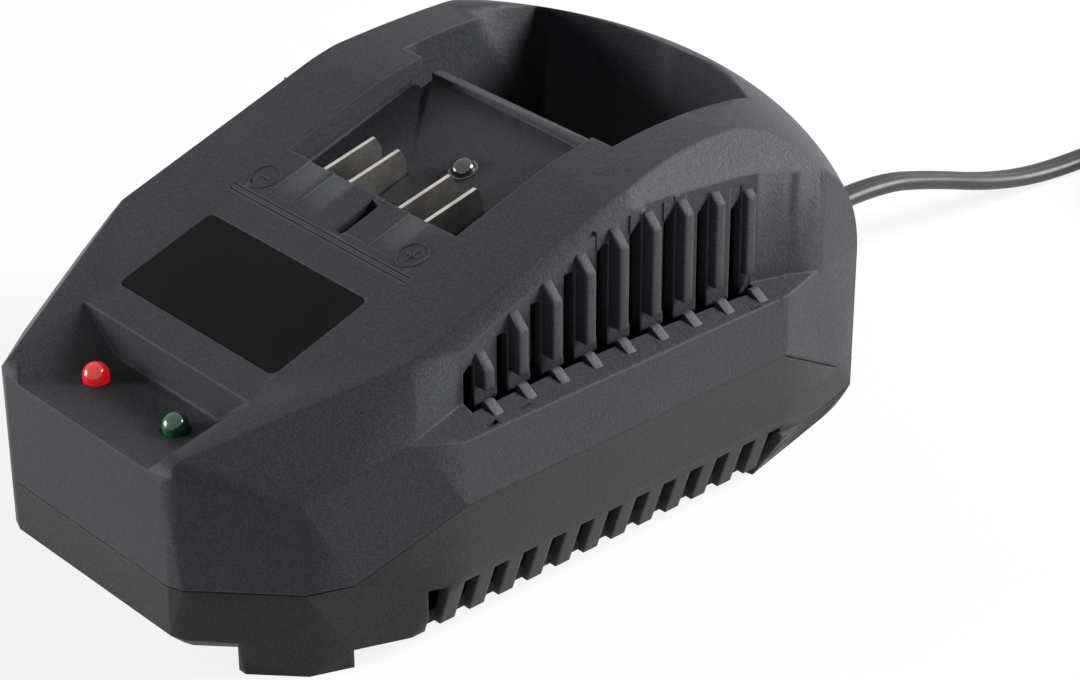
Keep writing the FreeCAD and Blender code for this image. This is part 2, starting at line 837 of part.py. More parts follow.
post_places = [
    ("front", size("front_post_x"), along(size("front_post_depth"))),
    ("rear", size("rear_post_x"), along(size("rear_post_depth"))),
]
joint = size("post_joint_height")
upper_posts = []
lower_posts = []
pilots = []
sinks = []
for name, x, y in post_places:
    post = cylinder(name + "_post", x, y, joint, size("post_radius"), sky - joint)
    socket = cylinder(name + "_socket", x, y, size("foot_height"), size("post_radius"),
                      joint - size("foot_height"))
    pilot = cylinder(name + "_pilot", x, y, joint - WALL, size("screw_radius") + size("thread_gap"),
                     size("screw_length") - (joint - size("screw_seat_height")) + WALL * 2)
    passage = cylinder(name + "_passage", x, y, ZERO, size("screw_radius") + size("fit_gap"), joint + WALL)
    sink = cylinder(name + "_sink", x, y, ZERO, size("screw_head_radius") + size("screw_sink_gap"),
                    size("screw_seat_height"))
    upper_posts += [post, mirror(name + "_left_post", post)]
    lower_posts += [socket, mirror(name + "_left_socket", socket)]
    pilots += [pilot, mirror(name + "_left_pilot", pilot)]
    sinks += [passage, mirror(name + "_left_passage", passage), sink, mirror(name + "_left_sink", sink)]

# Upper casing: shell, linings of the hollows, and then the hollows themselves
upper_lined = fuse("upper_lined", [
    upper_shell,
    common("upper_posts", [outside, fuse("upper_post_columns", upper_posts)]),
    common("tray_lining", [outside, tray_block]),
    common("well_lining", [outside, well_block]),
    common("lamp_lining", [outside, lamp_block]),
    common("right_louvre_lining", [outside, right_louvre_block]),
    common("left_louvre_lining", [outside, mirror("left_louvre_block", right_louvre_block)]),
])
hollows = fuse("upper_hollows", [
    tray_space, groove_space, notch_space, well_space, lamp_space,
    right_louvre, mirror("left_louvre", right_louvre),
])
upper_hollowed = cut("upper_hollowed", upper_lined, hollows)
ribs_in_casing = common("ribs_in_casing", [outside, right_ribs])
upper_ribbed = fuse("upper_ribbed", [
    upper_hollowed, ribs_in_casing, mirror("left_ribs", ribs_in_casing),
])
upper_openings = fuse("upper_openings", [right_slots, mirror("left_slots", right_slots)] + through + pilots)
upper_casing = cut("upper_casing", upper_ribbed, upper_openings)

# Lower casing: shell, feet, screw sockets, board standoffs and the comb of open slots along each side
foot_top = size("foot_height") + size("base_bevel")
foot_column = extrude("foot_column", plan_outline, Vector(0, 0, 1), foot_top)
front_foot = block("front_foot_block", nose_half, along(size("nose_corner_depth")) - size("foot_length") / 2,
                   ZERO, size("foot_width") * 2, size("foot_length"), foot_top)
rear_foot = block("rear_foot_block", tail_half, along(size("tail_corner_depth")) - size("foot_length"),
                  ZERO, size("foot_width") * 2, size("foot_length"), foot_top)
feet = common("right_feet", [foot_column, fuse("right_foot_blocks", [front_foot, rear_foot])])
standoffs = []
standoff_pilots = []
for name, depth in (("front", "standoff_front_depth"), ("rear", "standoff_rear_depth")):
    low = size("foot_height") + WALL / 2
    standoff = cylinder(name + "_standoff", size("standoff_x"), along(size(depth)), low,
                        size("standoff_radius"), size("board_height") - low)
    pilot = cylinder(name + "_standoff_pilot", size("standoff_x"), along(size(depth)), low + WALL / 2,
                     size("board_screw_radius") + size("thread_gap"), size("board_height"))
    standoffs += [standoff, mirror(name + "_left_standoff", standoff)]
    standoff_pilots += [pilot, mirror(name + "_left_standoff_pilot", pilot)]
slot_boxes = []
for number in range(int(SIZES["tooth_count"])):
    slot_y = along(size("tooth_first_depth") + size("tooth_pitch") * number)
    slot_boxes.append(block("tooth_gap_%d" % (number + 1), half_width, slot_y, -size("foot_height"),
                            size("tooth_slot_run") * 2, size("tooth_gap"),
                            size("tooth_slot_height") + size("foot_height")))
right_comb = fuse("right_comb", slot_boxes)
clamp_y = gland_y - WALL - size("gland_flange_thickness") - size("inner_lead_length") + size("clamp_length") / 2
clamp_seat_height = size("gland_height") - size("cord_radius")
clamp_seat = block("clamp_seat", 0, clamp_y, size("foot_height"), size("clamp_width"), size("clamp_length"),
                   clamp_seat_height - size("foot_height"))
clamp_pilots = []
for name, sign in (("right", 1), ("left", -1)):
    clamp_pilots.append(cylinder(name + "_clamp_pilot", size("clamp_screw_x") * sign,
                                 clamp_y + size("clamp_length") / 2, clamp_seat_height - size("clamp_height"),
                                 size("board_screw_radius") + size("thread_gap"), size("clamp_height") * 2))
lower_bevelled = doc.addObject("Part::Chamfer", "lower_bevelled")
lower_bevelled.Base = lower_shell
doc.recompute()
base_edges = []
for index, edge in enumerate(lower_shell.Shape.Edges, start=1):
    level = all(abs(vertex.Z - SIZES["foot_height"]) < 0.01 for vertex in edge.Vertexes)
    middle = edge.valueAt((edge.FirstParameter + edge.LastParameter) / 2)
    end_face = abs(middle.x) < nose_half.value
    if level and end_face and abs(middle.z - SIZES["foot_height"]) < 0.01:
        base_edges.append((index, SIZES["base_bevel"], SIZES["base_bevel"]))
lower_bevelled.Edges = base_edges
lower_built = fuse("lower_built", [
    lower_bevelled, seam_lip, feet, mirror("left_feet", feet), fuse("sockets", lower_posts), fuse("standoffs", standoffs),
    clamp_seat,
])
lower_openings = fuse("lower_openings", [right_comb, mirror("left_comb", right_comb), gland_hole]
                      + sinks + standoff_pilots + clamp_pilots)
lower_casing = cut("lower_casing", lower_built, lower_openings)


# Pieces in and on the casing


def screw(name, x, y, seat, up, radius, head_radius, head_height, length):
    """A screw whose head lies on the height seat; it points up or down and has a crossed drive."""
    if up:
        head = cylinder(name + "_head", x, y, seat - head_height, head_radius, head_height)
        shank = cylinder(name + "_shank", x, y, seat, radius, length)
        drive_low = seat - head_height
    else:
        head = cylinder(name + "_head", x, y, seat, head_radius, head_height)
        shank = cylinder(name + "_shank", x, y, seat - length, radius, length)
        drive_low = seat + head_height - size("drive_slot_depth")
    long = head_radius * 1.2
    short = size("drive_slot_width")
    deep = size("drive_slot_depth")
    cross = fuse(name + "_cross", [
        block(name + "_cross_x", x, y - short / 2, drive_low, long, short, deep),
        block(name + "_cross_y", x, y - long / 2, drive_low, short, long, deep),
    ])
    return cut(name, fuse(name + "_blank", [head, shank]), cross)


parts = {"upper_casing": upper_casing, "lower_casing": lower_casing}
parts["rating_label"] = label_form("rating_label", ZERO, size("label_thickness"), size("label_thickness"))
casing_screws = []
for name, x, y in post_places:
    for side, sign in (("right", 1), ("left", -1)):
        casing_screws.append(screw("%s_%s_screw" % (name, side), x * sign, y, size("screw_seat_height"), True,
                                   size("screw_radius"), size("screw_head_radius"), size("screw_head_height"),
                                   size("screw_length")))
parts["casing_screws"] = group("casing_screws", casing_screws)

# Circuit board and its screws
board_top = size("board_height") + size("board_thickness")
right_board = [
    (size("board_nose_half_width"), along(size("board_front_depth"))),
    (size("board_nose_half_width"), along(size("board_step_depth"))),
    (size("board_half_width"), along(size("board_step_depth"))),
    (size("board_half_width"), along(size("board_tail_step_depth"))),
    (size("board_tail_half_width"), along(size("board_tail_step_depth"))),
    (size("board_tail_half_width"), along(size("board_rear_depth"))),
]
board_outline = outline("board_outline", "plan", right_board + [(-x, y) for x, y in reversed(right_board)],
                        lift=size("board_height"))
board_plate = extrude("board_plate", board_outline, Vector(0, 0, 1), size("board_thickness"))
board_holes = []
board_screws = []
for name, depth in (("front", "standoff_front_depth"), ("rear", "standoff_rear_depth")):
    for side, sign in (("right", 1), ("left", -1)):
        tag = "%s_%s_board" % (name, side)
        x = size("standoff_x") * sign
        y = along(size(depth))
        board_holes.append(cylinder(tag + "_hole", x, y, size("board_height"),
                                    size("board_screw_radius") + size("fit_gap"), size("board_thickness")))
        board_screws.append(screw(tag + "_screw", x, y, board_top, False, size("board_screw_radius"),
                                  size("board_screw_head_radius"), size("board_screw_head_height"),
                                  size("board_screw_length")))
parts["main_board"] = cut("main_board", board_plate, fuse("board_holes", board_holes))
parts["board_screws"] = group("board_screws", board_screws)

# Lamps on their holder
lamps = []
lamp_holes = []
for name, x in (("red", -lamp_half_spacing), ("green", lamp_half_spacing)):
    radius = size("lamp_diameter") / 2
    base = size("lamp_base_height")
    dome = doc.addObject("Part::Sphere", name + "_dome")
    bind(dome, "Radius", radius)
    place(dome, x, lamp_y, size("lamp_dome_centre"))
    legs = []
    for side, sign in (("right", 1), ("left", -1)):
        leg_x = x + size("lamp_leg_spacing") / 2 * sign
        tag = "%s_%s_leg" % (name, side)
        legs.append(cylinder(tag, leg_x, lamp_y, board_top, size("lamp_leg_radius"), base - board_top))
        lamp_holes.append(cylinder(tag + "_hole", leg_x, lamp_y, board_top,
                                   size("lamp_leg_radius") + size("thread_gap"), base - board_top))
    parts[name + "_lamp"] = fuse(name + "_lamp", [
        cylinder(name + "_barrel", x, lamp_y, base, radius, size("lamp_dome_centre") - base), dome,
        cylinder(name + "_flange", x, lamp_y, base, size("lamp_flange_radius"), size("lamp_flange_thickness")),
    ] + legs)
holder_block = block("holder_block", 0, lamp_y - size("lamp_holder_length") / 2, board_top,
                     size("lamp_holder_width"), size("lamp_holder_length"), size("lamp_base_height") - board_top)
parts["lamp_holder"] = cut("lamp_holder", holder_block, fuse("lamp_holes", lamp_holes))

# Contact blades and the bridge that carries them below the bay's floor
carrier_front = blade_front - size("carrier_margin")
carrier_rear = blade_rear + size("carrier_margin")


def below_floor(depth, drop):
    return tray_floor(depth) - WALL - size("fit_gap") - drop


blades = []
for name, x in blade_positions():
    low = below_floor(blade_front, size("carrier_height") + size("blade_tail"))
    profile = [
        (along(blade_front), low),
        (along(blade_rear), low),
        (along(blade_rear), size("blade_rear_height") - size("blade_corner")),
        (along(blade_rear) - size("blade_corner") * 0.6, size("blade_rear_height")),
        (along(blade_front), size("blade_front_height")),
    ]
    half = size("blade_thickness") / 2
    blade = extrude(name, outline(name + "_outline", "side", profile, lift=x), Vector(1, 0, 0), half, half)
    blades.append(blade)
    parts[name] = blade
carrier_points = [
    (along(carrier_front), below_floor(carrier_front, size("carrier_height"))),
    (along(carrier_rear), below_floor(carrier_rear, size("carrier_height"))),
    (along(carrier_rear), below_floor(carrier_rear, ZERO)),
    (along(carrier_front), below_floor(carrier_front, ZERO)),
]
carrier_half = size("carrier_width") / 2
bridge = extrude("carrier_bridge", outline("carrier_outline", "side", carrier_points), Vector(1, 0, 0),
                 carrier_half, carrier_half)
carrier_leg = block("carrier_leg", carrier_half - WALL / 2, along(carrier_front), board_top, WALL,
                    carrier_rear - carrier_front,
                    below_floor(carrier_front, size("carrier_height") / 2) - board_top)
carrier_blank = fuse("carrier_blank", [bridge, carrier_leg, mirror("carrier_left_leg", carrier_leg)])
parts["contact_carrier"] = cut("contact_carrier", carrier_blank, group("blade_set", blades))


# What stands on the board


def spot(name):
    return size(name + "_x"), along(size(name + "_depth"))


def extent(name):
    return size(name + "_width"), size(name + "_length"), size(name + "_height")


def standing_block(name):
    x, y = spot(name)
    width, length, height = extent(name)
    return block(name, x, y - length / 2, board_top, width, length, height)


def standing_can(name, label=None, shift=ZERO):
    x, y = spot(name)
    width, length, height = extent(name)
    return cylinder(label or name, x, y + shift, board_top, width / 2, height)


def power_package(name):
    """A flat power component standing on edge against its heatsink; the lower part is its legs."""
    x, y = spot(name)
    width, length, height = extent(name)
    leg_height = height * 0.25
    body = block(name + "_body", x, y - length / 2, board_top + leg_height, width, length, height - leg_height)
    pieces = [body]
    for number in (-1, 0, 1):
        pieces.append(block("%s_leg_%d" % (name, number + 2), x, y + length * (0.25 * number) - width * 0.1,
                            board_top, width * 0.15, width * 0.2, leg_height))
    return fuse(name, pieces)


def heatsink(name):
    """A plate with fins on the side away from the component."""
    x, y = spot(name)
    width, length, height = extent(name)
    pieces = [block(name + "_plate", x, y - length / 2, board_top, width, length, height)]
    for number in range(4):
        pieces.append(block("%s_fin_%d" % (name, number + 1), x - width,
                            y - length / 2 + (length - width / 2) / 3 * number, board_top,
                            width * 1.4, width / 2, height))
    return fuse(name, pieces)


for name in ("filter_capacitor", "bridge_rectifier", "optocoupler", "control_chip"):
    parts[name] = standing_block(name)
for name in ("power_transistor", "output_diode"):
    parts[name] = power_package(name)
for name in ("primary_heatsink", "secondary_heatsink"):
    parts[name] = heatsink(name)
parts["input_capacitor"] = standing_can("input_capacitor")
parts["output_choke"] = standing_can("output_choke")
can_step = size("output_capacitors_width") * 1.2
parts["output_capacitors"] = group("output_capacitors", [
    standing_can("output_capacitors", "output_capacitor_%d" % (number + 1), -can_step * number)
    for number in range(3)
])

choke_x, choke_y = spot("line_choke")
choke_width, choke_length, choke_height = extent("line_choke")
windings = []
for name, start in (("core", 0), ("right", -55), ("left", 125)):
    ring = doc.addObject("Part::Torus", "line_choke_" + name)
    bind(ring, "Radius1", choke_width / 2)
    thickness = choke_height / 2 if name != "core" else choke_height * 0.4
    bind(ring, "Radius2", thickness)
    ring.Angle3 = 360.0 if name == "core" else 110.0
    place(ring, choke_x, choke_y, board_top + choke_height / 2, Rotation(Vector(0, 0, 1), start))
    windings.append(ring)
parts["line_choke"] = fuse("line_choke", windings)

fuse_x, fuse_y = spot("fuse")
fuse_length, fuse_width, fuse_height = extent("fuse")
fuse_axis = board_top + fuse_height - fuse_width / 2 - size("thread_gap") * 4
fuse_tube = doc.addObject("Part::Cylinder", "fuse")
bind(fuse_tube, "Radius", fuse_width / 2)
bind(fuse_tube, "Height", fuse_length)
place(fuse_tube, fuse_x - fuse_length / 2, fuse_y, fuse_axis, Rotation(Vector(0, 1, 0), 90))
parts["fuse"] = fuse_tube
clips = []
for name, sign in (("right", 1), ("left", -1)):
    clip_width = fuse_length * 0.2
    clip_length = fuse_width + size("blade_thickness") * 2
    clips.append(block(name + "_clip", fuse_x + (fuse_length / 2 - clip_width / 2) * sign,
                       fuse_y - clip_length / 2, board_top, clip_width, clip_length, fuse_axis - board_top))
parts["fuse_clips"] = cut("fuse_clips", group("clip_blanks", clips), fuse_tube)

core_x, core_y = spot("transformer")
core_width, core_length, core_height = extent("transformer")
base_thickness = core_height / 12
leg = core_width / 4
yoke = core_height / 6
core_low = board_top + base_thickness
window_height = core_height - yoke * 2
core_blank = block("core_blank", core_x, core_y - core_length / 2, core_low, core_width, core_length, core_height)
window = block("core_window", core_x + leg / 2 + (core_width - leg * 2) / 4, core_y - core_length, core_low + yoke,
               (core_width - leg * 2) / 2, core_length * 2, window_height)
parts["transformer_core"] = cut("transformer_core", core_blank,
                                fuse("core_windows", [window, mirror("core_left_window", window)]))
winding_width = core_width - leg - size("fit_gap") * 2
winding_length = core_length * 1.9
winding_block = block("winding_block", core_x, core_y - winding_length / 2, core_low + yoke, winding_width,
                      winding_length, window_height)
bobbin_base = block("bobbin_base", core_x, core_y - winding_length / 2, board_top, winding_width, winding_length,
                    base_thickness)
bobbin_sides = [
    block("bobbin_side_" + name, core_x, y, board_top, winding_width, (winding_length - core_length) / 4,
          base_thickness + yoke)
    for name, y in (("front", core_y - winding_length / 2),
                    ("rear", core_y + winding_length / 2 - (winding_length - core_length) / 4))
]
parts["transformer_bobbin"] = cut("transformer_bobbin",
                                  fuse("bobbin_blank", [winding_block, bobbin_base] + bobbin_sides),
                                  parts["transformer_core"])

# Supply lead: relief sleeve in the rear wall, lead through it, clamp, and the wires to the board


def lying(name, start, end, radius, height, end_radius=None):
    """A round bar along Y between two places, tapered where an end radius is given."""
    kind = "Part::Cone" if end_radius is not None else "Part::Cylinder"
    item = doc.addObject(kind, name)
    if end_radius is not None:
        bind(item, "Radius1", radius)
        bind(item, "Radius2", end_radius)
    else:
        bind(item, "Radius", radius)
    bind(item, "Height", end - start)
    return place(item, 0, start, height, Rotation(Vector(1, 0, 0), -90))


gland_z = size("gland_height")
flange_rear = gland_y - WALL - size("fit_gap")
flange_front = flange_rear - size("gland_flange_thickness")
sleeve_end = gland_y + size("gland_sleeve_length")
lead_start = gland_y - WALL - size("gland_flange_thickness") - size("inner_lead_length")
inner_lead = lying("inner_lead", lead_start, sleeve_end, size("cord_radius"), gland_z)
parts["inner_lead"] = inner_lead
lead_bore = lying("lead_bore", lead_start, sleeve_end, size("cord_radius") + size("snug_gap"), gland_z)
relief_blank = fuse("relief_blank", [
    lying("relief_flange", flange_front, flange_rear, size("gland_flange_radius"), gland_z),
    lying("relief_neck", flange_rear, gland_y, size("gland_sleeve_radius"), gland_z),
    lying("relief_taper", gland_y, sleeve_end, size("gland_sleeve_radius"), gland_z, size("gland_tip_radius")),
])
parts["strain_relief"] = cut("strain_relief", relief_blank, lead_bore)
clamp_bar = block("clamp_bar", 0, clamp_y, clamp_seat_height, size("clamp_width"), size("clamp_length"),
                  size("clamp_height"))
clamp_channel = block("clamp_channel", 0, clamp_y, clamp_seat_height,
                      (size("cord_radius") + size("snug_gap")) * 2, size("clamp_length"), size("cord_radius"))
clamp_cuts = [lead_bore, clamp_channel]
clamp_screws = []
for name, sign in (("right", 1), ("left", -1)):
    x = size("clamp_screw_x") * sign
    y = clamp_y + size("clamp_length") / 2
    clamp_cuts.append(cylinder(name + "_clamp_hole", x, y, clamp_seat_height,
                               size("board_screw_radius") + size("fit_gap"), size("clamp_height")))
    clamp_screws.append(screw(name + "_clamp_screw", x, y, clamp_seat_height + size("clamp_height"), False,
                              size("board_screw_radius"), size("board_screw_head_radius"),
                              size("board_screw_head_height"), size("clamp_screw_length")))
parts["cord_clamp"] = cut("cord_clamp", clamp_bar, fuse("clamp_cuts", clamp_cuts))
parts["clamp_screws"] = group("clamp_screws", clamp_screws)


def bent_wire(points):
    """A path of straight runs joined by tangent arcs, each arc sized by the shorter run beside it."""
    edges = []
    radii = []
    start = points[0]
    for index in range(1, len(points) - 1):
        before = points[index] - points[index - 1]
        after = points[index + 1] - points[index]
        turn = before.getAngle(after)
        reach = 0.45 * min(before.Length, after.Length)
        into = points[index] - before.normalize() * reach
        out = points[index] + after.normalize() * reach
        radius = reach / math.tan(turn / 2)
        radii.append(radius)
        inward = ((into + out) * 0.5 - points[index]).normalize()
        apex = points[index] + inward * (radius / math.cos(turn / 2) - radius)
        edges.append(Part.LineSegment(start, into).toShape())
        edges.append(Part.Arc(into, apex, out).toShape())
        start = out
    edges.append(Part.LineSegment(start, points[-1]).toShape())
    return Part.Wire(edges), radii


def tube(name, path, radius):
    """A round solid of one radius along a path."""
    first = path.Edges[0]
    start = first.valueAt(first.FirstParameter)
    heading = first.tangentAt(first.FirstParameter)
    ring = Part.Wire([Part.makeCircle(radius, start, heading)])
    item = doc.addObject("Part::Feature", name)
    item.Shape = path.makePipeShell([ring], True, False)
    expected = math.pi * radius ** 2 * path.Length
    print(name, "length", round(path.Length, 1), "volume share", round(item.Shape.Volume / expected, 4))
    return item


wire_paths = []
for sign in (1, -1):
    x = SIZES["wire_half_spacing"] * sign
    wire_paths.append([
        Vector(x, lead_start.value, gland_z.value),
        Vector(x, SIZES["wire_bend_y"], gland_z.value),
        Vector(x, SIZES["wire_bend_y"], board_top.value),
    ])
parts["lead_wires"] = group("lead_wires", [
    tube("lead_wire_%d" % number, bent_wire(points)[0], SIZES["wire_radius"])
    for number, points in enumerate(wire_paths, start=1)
])
contact_wires = []
for name, x in blade_positions():
    low = below_floor(blade_front, size("carrier_height") + size("blade_tail"))
    y = along(blade_front + size("blade_length") / 2).value
    shift = math.copysign(SIZES["wire_radius"] * 4, x.value)
    points = [
        Vector(x.value, y, low.value),
        Vector(x.value, y, low.value - 6),
        Vector(x.value - shift, y - abs(shift), (low.value + board_top.value) / 2),
        Vector(x.value - shift, y - abs(shift) * 1.5, board_top.value + 6),
        Vector(x.value - shift, y - abs(shift) * 1.5, board_top.value),
    ]
    contact_wires.append(tube(name + "_wire", bent_wire(points)[0], SIZES["wire_radius"]))
parts["contact_wires"] = group("contact_wires", contact_wires)

# Supply cord behind the casing
cord_radius = SIZES["cord_radius"]
floor_z = cord_radius + SIZES["floor_gap"]
coil_x = SIZES["coil_start_x"]
coil_y = SIZES["coil_start_y"]
cord_route = [
    Vector(0.0, sleeve_end.value, gland_z.value),
    Vector(0.0, 124.0, 18.4),
    Vector(0.0, 142.0, 13.2),
    Vector(0.0, 160.0, 6.6),
    Vector(0.4, 177.0, floor_z + 0.4),
    Vector(1.8, 196.0, floor_z),
    Vector(coil_x, 213.0, floor_z),
    Vector(coil_x, coil_y - 2 * cord_radius, floor_z),
]
cord_path, cord_bends = bent_wire(cord_route)
print("cord bend radii", [round(radius, 1) for radius in cord_bends])
parts["mains_cord"] = tube("mains_cord", cord_path, cord_radius)


def biarc(p0, t0, p1, t1):
    """Two tangent arcs from p0 heading t0 to p1 heading t1."""
    chord = p1 - p0
    both = t0 + t1
    spare = 1 - t0.dot(t1)
    if spare < 1e-9:
        reach = chord.dot(chord) / (4 * chord.dot(t1))
    else:
        slope = chord.dot(both)
        reach = (-slope + math.sqrt(slope ** 2 + 2 * spare * chord.dot(chord))) / (2 * spare)
    q0 = p0 + t0 * reach
    q1 = p1 - t1 * reach
    joint_point = (q0 + q1) * 0.5
    arcs = []
    for start, corner, end in ((p0, q0, joint_point), (joint_point, q1, p1)):
        weight = (end - start).Length / (2 * (corner - start).Length)
        apex = (start + corner * (2 * weight) + end) * (1 / (2 + 2 * weight))
        arcs.append(Part.Arc(start, apex, end).toShape())
    return arcs


# Two flat layers: the cord spirals in on the floor, climbs one layer where it turns, and spirals out
coil_pitch = cord_radius * 2 + SIZES["coil_gap"]
turns = SIZES["coil_turns_per_layer"]
inner_radius = SIZES["coil_inner_radius"]
coil_centre = Vector(coil_x + inner_radius + coil_pitch * turns, coil_y, 0)


def coil_point(turn):
    """Place on the coil, turn counted from the inner reversal."""
    angle = math.pi - 2 * math.pi * (turn + turns)
    radius = inner_radius + coil_pitch * abs(turn)
    share = min(max(turn * 2 + 0.5, 0.0), 1.0)
    rise = coil_pitch * share ** 2 * (3 - 2 * share)
    return coil_centre + Vector(radius * math.cos(angle), radius * math.sin(angle), floor_z + rise)


def coil_heading(turn):
    step = 1e-4
    if abs(abs(turn) - turns) < step:
        return Vector(0, 1, 0)
    return (coil_point(turn + step) - coil_point(turn - step)).normalize()


coil_entry = coil_point(-turns)
coil_exit = coil_point(turns)
coil_end = coil_exit + Vector(0, SIZES["coil_tail_length"], 0)
coil_arcs = [Part.LineSegment(coil_entry - Vector(0, 2 * cord_radius, 0), coil_entry).toShape()]
quarters = int(turns * 8)
for index in range(quarters):
    here = -turns + index / 4
    coil_arcs += biarc(coil_point(here), coil_heading(here), coil_point(here + 0.25), coil_heading(here + 0.25))
coil_arcs.append(Part.LineSegment(coil_exit, coil_end).toShape())
coil_path = Part.Wire(coil_arcs)
samples = []
for index, edge in enumerate(coil_path.Edges):
    for share in range(6):
        parameter = edge.FirstParameter + (edge.LastParameter - edge.FirstParameter) * share / 6
        samples.append((index, edge.valueAt(parameter)))
least = min((a - b).Length for i, a in samples for j, b in samples if j - i > 3)
print("coil self gap", round(least - 2 * cord_radius, 3))
parts["cord_coil"] = tube("cord_coil", coil_path, cord_radius)

# Plug with two round pins
plug_x = as_size(coil_end.x)
plug_z = as_size(coil_end.z)
sleeve_start = as_size(coil_end.y)
body_start = sleeve_start + size("plug_sleeve_length")
body_end = body_start + size("plug_length")
plug_half = size("plug_width") / 2
neck_half = size("plug_neck_width") / 2
bevel = size("plug_bevel")
waist = body_start + size("plug_length") * 0.55
plug_points = [
    (plug_x - neck_half, body_start),
    (plug_x + neck_half, body_start),
    (plug_x + plug_half, waist),
    (plug_x + plug_half, body_end),
    (plug_x - plug_half, body_end),
    (plug_x - plug_half, waist),
]
plug_column = extrude("plug_column", outline("plug_outline", "plan", plug_points), Vector(0, 0, 1),
                      size("plug_thickness") * 2)
plug_low = plug_z - size("plug_thickness") / 2
plug_high = plug_z + size("plug_thickness") / 2
plug_side = [
    (body_start, plug_low + bevel),
    (body_start + bevel, plug_low),
    (body_end, plug_low),
    (body_end, plug_high),
    (body_start + bevel, plug_high),
    (body_start, plug_high - bevel),
]
plug_slab = extrude("plug_slab", outline("plug_side_outline", "side", plug_side), Vector(1, 0, 0),
                    size("plug_width") * 2, size("plug_width") * 2)
plug_sleeve = doc.addObject("Part::Cone", "plug_sleeve")
bind(plug_sleeve, "Radius1", size("gland_tip_radius"))
bind(plug_sleeve, "Radius2", size("gland_sleeve_radius"))
bind(plug_sleeve, "Height", size("plug_sleeve_length") + bevel)
place(plug_sleeve, plug_x, sleeve_start, plug_z, Rotation(Vector(1, 0, 0), -90))
parts["plug_body"] = fuse("plug_body", [common("plug_shell", [plug_column, plug_slab]), plug_sleeve])
pins = []
for name, sign in (("right", 1), ("left", -1)):
    pin = doc.addObject("Part::Cylinder", name + "_pin")
    bind(pin, "Radius", size("pin_radius"))
    bind(pin, "Height", size("pin_length"))
    pins.append(place(pin, plug_x + size("pin_spacing") / 2 * sign, body_end, plug_z,
                      Rotation(Vector(1, 0, 0), -90)))
parts["plug_pins"] = group("plug_pins", pins)

# Check every object and shape, then write one file for each piece
doc.recompute()
for item in doc.Objects:
    if "Invalid" in item.State or "Error" in item.State:
        raise RuntimeError("not computed: %s" % item.Name)
for label, item in parts.items():
    item.Label = label
    shape = item.Shape
    if shape.isNull() or not shape.isValid() or not shape.Solids:
        raise RuntimeError("bad shape: %s" % label)
    box = shape.optimalBoundingBox()
    print(label, len(shape.Solids), "%.0f mm3" % shape.Volume,
          "x %.1f %.1f  y %.1f %.1f  z %.1f %.1f" % (box.XMin, box.XMax, box.YMin, box.YMax, box.ZMin, box.ZMax))
for label, item in parts.items():
    item.Shape.exportStep("parts/%s.step" % label)
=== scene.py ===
import json
import math
import bmesh
import bpy
from mathutils import Matrix, Vector


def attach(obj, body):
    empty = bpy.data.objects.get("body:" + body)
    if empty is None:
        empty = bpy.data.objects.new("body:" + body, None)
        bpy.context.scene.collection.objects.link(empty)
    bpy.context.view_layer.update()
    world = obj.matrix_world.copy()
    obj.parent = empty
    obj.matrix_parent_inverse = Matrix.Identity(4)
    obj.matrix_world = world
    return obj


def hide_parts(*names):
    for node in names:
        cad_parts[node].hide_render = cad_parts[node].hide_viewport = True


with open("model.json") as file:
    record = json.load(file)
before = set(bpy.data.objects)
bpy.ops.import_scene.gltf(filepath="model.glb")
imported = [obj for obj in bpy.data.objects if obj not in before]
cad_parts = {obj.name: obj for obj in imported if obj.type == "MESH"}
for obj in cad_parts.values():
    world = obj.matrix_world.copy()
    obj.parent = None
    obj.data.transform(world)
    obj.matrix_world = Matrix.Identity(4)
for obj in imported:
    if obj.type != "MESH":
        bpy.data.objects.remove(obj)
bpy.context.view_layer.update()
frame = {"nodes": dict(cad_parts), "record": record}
MM = 0.001


# Camera, as solved from the photograph: azimuth 48.151 and elevation 29.098 degrees

CAMERA_PLACE = (0.41168, -0.34164, 0.32345)
CAMERA_BACK = (0.65089, -0.58297, 0.48630)
CAMERA_ROLL = -0.138
CAMERA_LENS = 106.803
SENSOR_WIDTH = 36


def look():
    """The photograph's view. CAMERA_BACK points from the object to the camera; the roll is in degrees."""
    data = bpy.data.cameras.new("camera")
    data.sensor_width = SENSOR_WIDTH
    data.sensor_fit = "HORIZONTAL"
    data.lens = CAMERA_LENS
    data.clip_start = 0.02
    data.clip_end = 20
    camera = bpy.data.objects.new("camera", data)
    bpy.context.scene.collection.objects.link(camera)
    back = Vector(CAMERA_BACK).normalized()
    right = Vector((0, 0, 1)).cross(back).normalized()
    up = back.cross(right)
    roll = math.radians(CAMERA_ROLL)
    right, up = right * math.cos(roll) + up * math.sin(roll), up * math.cos(roll) - right * math.sin(roll)
    turn = Matrix((right, up, back)).transposed().to_4x4()
    camera.matrix_world = Matrix.Translation(CAMERA_PLACE) @ turn
    bpy.context.scene.camera = camera


look()


# Materials


